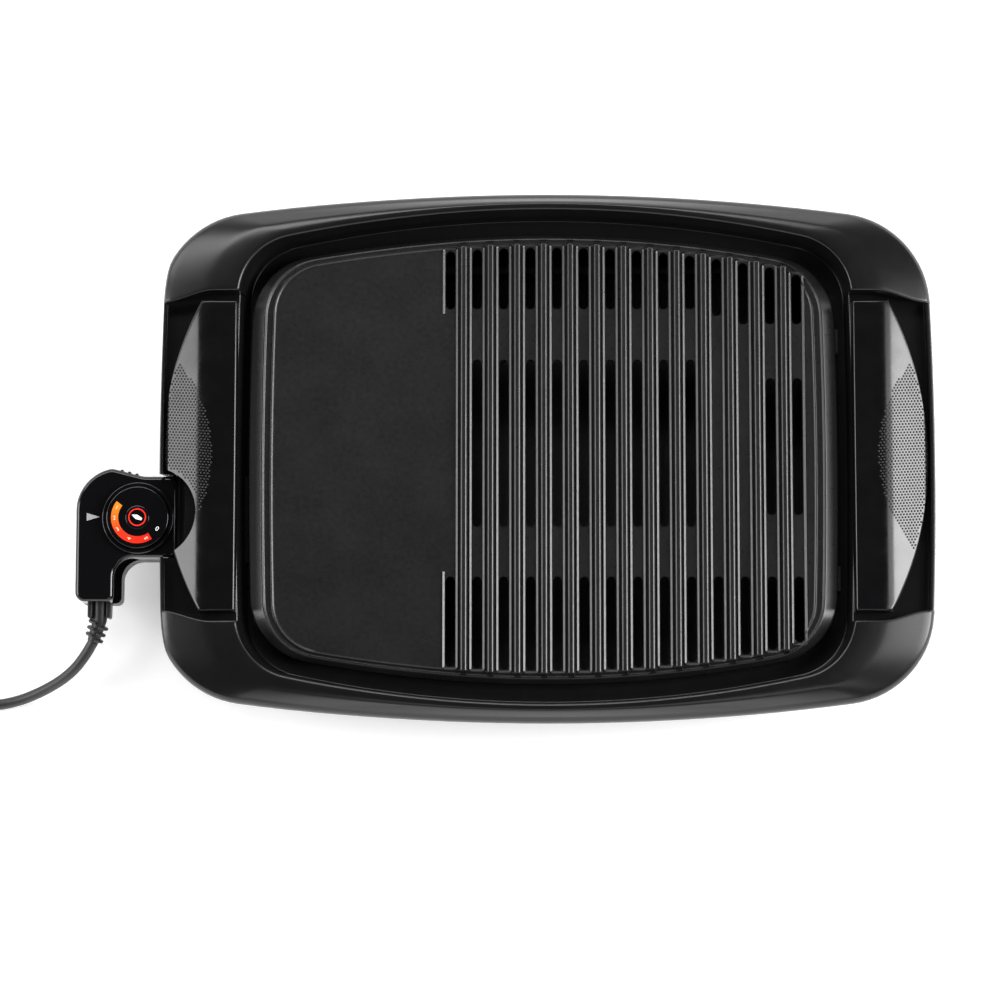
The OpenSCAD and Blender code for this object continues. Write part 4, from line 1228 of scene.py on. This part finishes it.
# Radii of the plug, with how far from the cord's end each is: a ribbed neck, a shoulder and the body
PLUG_PROFILE = [(3.9, 0), (4.9, 0.4), (5.3, 1.2)]
for ring_start in (2.2, 5.6, 9.0, 12.4):
    core = 5.2 + 0.13 * ring_start
    for r, s in ((0, -0.1), (1.5, 0), (1.8, 0.4), (1.8, 1.2), (1.5, 1.6), (0.1, 1.7)):
        PLUG_PROFILE.append((core + r, ring_start + s))
PLUG_PROFILE += [(8.0, 15.0), (11.2, 15.6), (12.6, 16.6), (14.4, 18.6), (16.0, 21.4), (16.7, 24), (16.9, 27)]
PLUG_PROFILE += [(16.9, 49.6), (16.6, 50.4), (15.9, 50.9), (15.0, 51.0)]


def grip(angle, s):
    """Depth of the finger grooves along the plug's sides."""
    span = ease(s, 26, 30) * (1 - ease(s, 42, 45))
    return 0.55 * span * max(0.0, math.sin(14 * angle)) ** 2


def make_plug():
    profile = []
    for (r0, s0), (r1, s1) in zip(PLUG_PROFILE, PLUG_PROFILE[1:]):
        steps = max(1, round((s1 - s0) / 1.6))
        profile += [(r0 + (r1 - r0) * k / steps, s0 + (s1 - s0) * k / steps) for k in range(steps)]
    rings = []
    for r, s in profile + [PLUG_PROFILE[-1]]:
        spots = [(a, r - (grip(a, s) if r > 16 else 0.0)) for a in circle_turns(112)]
        rings.append([(PLUG_X + q * math.cos(a), PLUG_Y + s, PLUG_Z + q * math.sin(a)) for a, q in spots])
    plug = rings_solid("plug_body", rings, CORD_SKIN)
    slots = [block("slot", (PLUG_X - 3, PLUG_Y + 33, PLUG_Z + side * 16.4 - 2),
                   (PLUG_X + 3, PLUG_Y + 60, PLUG_Z + side * 16.4 + 2), CORD_SKIN) for side in (-1, 1)]
    plug = smooth(combine(plug, joined("slots", slots), "DIFFERENCE"), 45)
    settle(plug, "control", "cord_rubber", "mains_plug")


make_control()
make_dial()
make_boot()
make_plug()


# ---------------- CAD pieces that stay, with their finish and edges

KEPT = [
    (DULL, {"bottom_cover": 0.5, "tray_guides": 0.3}),
    (STEEL, {"heat_shield": 0.3, "inlet_shroud": 0.4, "tray_rivets": 0.3, "bracket_screws": 0.2,
             "cover_screws": 0.2, "handle_screws": 0.2, "control_screws": 0.2}),
    (CERAMIC, {"element_seals": 0.3, "terminal_block": 0.4, "socket_block": 0.4}),
    (BLUED, {"element_brackets": 0.25, "element_clips": 0.2}),
    (NICKEL, {"contact_pins": 0.5, "dial_spindle": 0.3, "probe_rod": 0, "plug_pins": 0}),
    (BRASS, {"earth_pin": 0.2, "spindle_bush": 0.2, "plug_earth_clips": 0.2, "socket_sleeves": 0.15,
             "earth_blade": 0.15}),
    (SHEATH, {"heating_element": 0}), (SILICONE, {"plate_rests": 0.5}), (RUBBER, {"rubber_feet": 0.9}),
    (PAN, {"drip_tray": 0.5}), (SATIN, {"tray_front": 0.9}), (MARK_GREY, {"arrow_mark": 0.06}),
    (SHADED_UNDER, {"control_collar": 0.35}), (PHENOLIC, {"thermostat_switch": 0.4}), (LEADS, {"lead_wires": 0}),
    (TIE, {"cord_tie": 0.3}),
]

for finish, widths in KEPT:
    for node, width in widths.items():
        kept = finished(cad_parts[node], finish)
        if width:
            soften(kept, width)
        else:
            smooth(kept, 40)


# ---------------- floor and light

def make_floor():
    mesh = bpy.data.meshes.new("floor")
    mesh.from_pydata([(-40, -40, 0), (40, -40, 0), (40, 40, 0), (-40, 40, 0)], [], [(0, 1, 2, 3)])
    n = Nodes("pale floor")
    n.colour(n.mix(n.span(n.noise(300, 3), 0, 1), (0.93, 0.93, 0.93), (0.95, 0.95, 0.95)))
    n.put("Emission Strength", 0.3)
    n.put("Roughness", 0.9)
    n.put("Specular IOR Level", 0.0)
    floor = finished(link_new("floor", mesh), n.material)
    floor.location.z = -0.0002


# Azimuth (0 to the griddle's right, 90 behind it), elevation, distance in metres, size in metres, radiance
LIGHTS = {
    "right_softbox": (0, 34, 2.6, (1.1, 1.3), 15),
    "right_upper_softbox": (0, 55, 2.6, (1.1, 0.6), 3.5),
    "left_softbox": (180, 34, 2.6, (1.1, 1.3), 7),
    "back_softbox": (100, 50, 2.5, (1.8, 0.6), 7),
    "left_back_softbox": (140, 40, 2.6, (0.8, 0.8), 5),
    "front_softbox": (-75, 50, 2.4, (1.6, 0.5), 1.6),
}


def make_light(name, azimuth, elevation, distance, size, radiance):
    """A soft rectangular light that faces the griddle."""
    a, e = math.radians(azimuth), math.radians(elevation)
    way = Vector((math.cos(a) * math.cos(e), math.sin(a) * math.cos(e), math.sin(e)))
    data = bpy.data.lights.new(name, "AREA")
    data.shape = "RECTANGLE"
    data.size, data.size_y = size
    data.energy = radiance * math.pi * size[0] * size[1]
    light = link_new(name, data)
    light.location = way * distance
    light.rotation_euler = way.to_track_quat("Z", "Y").to_euler()


SKY_LOW, SKY_HIGH = math.sin(math.radians(12)), math.sin(math.radians(36))
SKY_BRIGHT, SKY_DARK = 2.2, 0.01


def make_world():
    """A studio that is dark overhead and pale towards the horizon."""
    world = bpy.data.worlds.new("studio")
    bpy.context.scene.world = world
    world.use_nodes = True
    tree = world.node_tree
    place = tree.nodes.new("ShaderNodeTexCoord")
    split = tree.nodes.new("ShaderNodeSeparateXYZ")
    tree.links.new(place.outputs["Generated"], split.inputs[0])
    shade = tree.nodes.new("ShaderNodeMapRange")
    shade.interpolation_type = "SMOOTHSTEP"
    ends = {"From Min": SKY_LOW, "From Max": SKY_HIGH, "To Min": SKY_BRIGHT, "To Max": SKY_DARK}
    for socket, value in ends.items():
        shade.inputs[socket].default_value = value
    tree.links.new(split.outputs["Z"], shade.inputs["Value"])
    background = tree.nodes["Background"]
    background.inputs["Color"].default_value = (1, 1, 1, 1)
    tree.links.new(shade.outputs["Result"], background.inputs["Strength"])


make_floor()
make_world()
for light_name, settings in LIGHTS.items():
    make_light(light_name, *settings)
bpy.context.scene.view_settings.view_transform = "Standard"
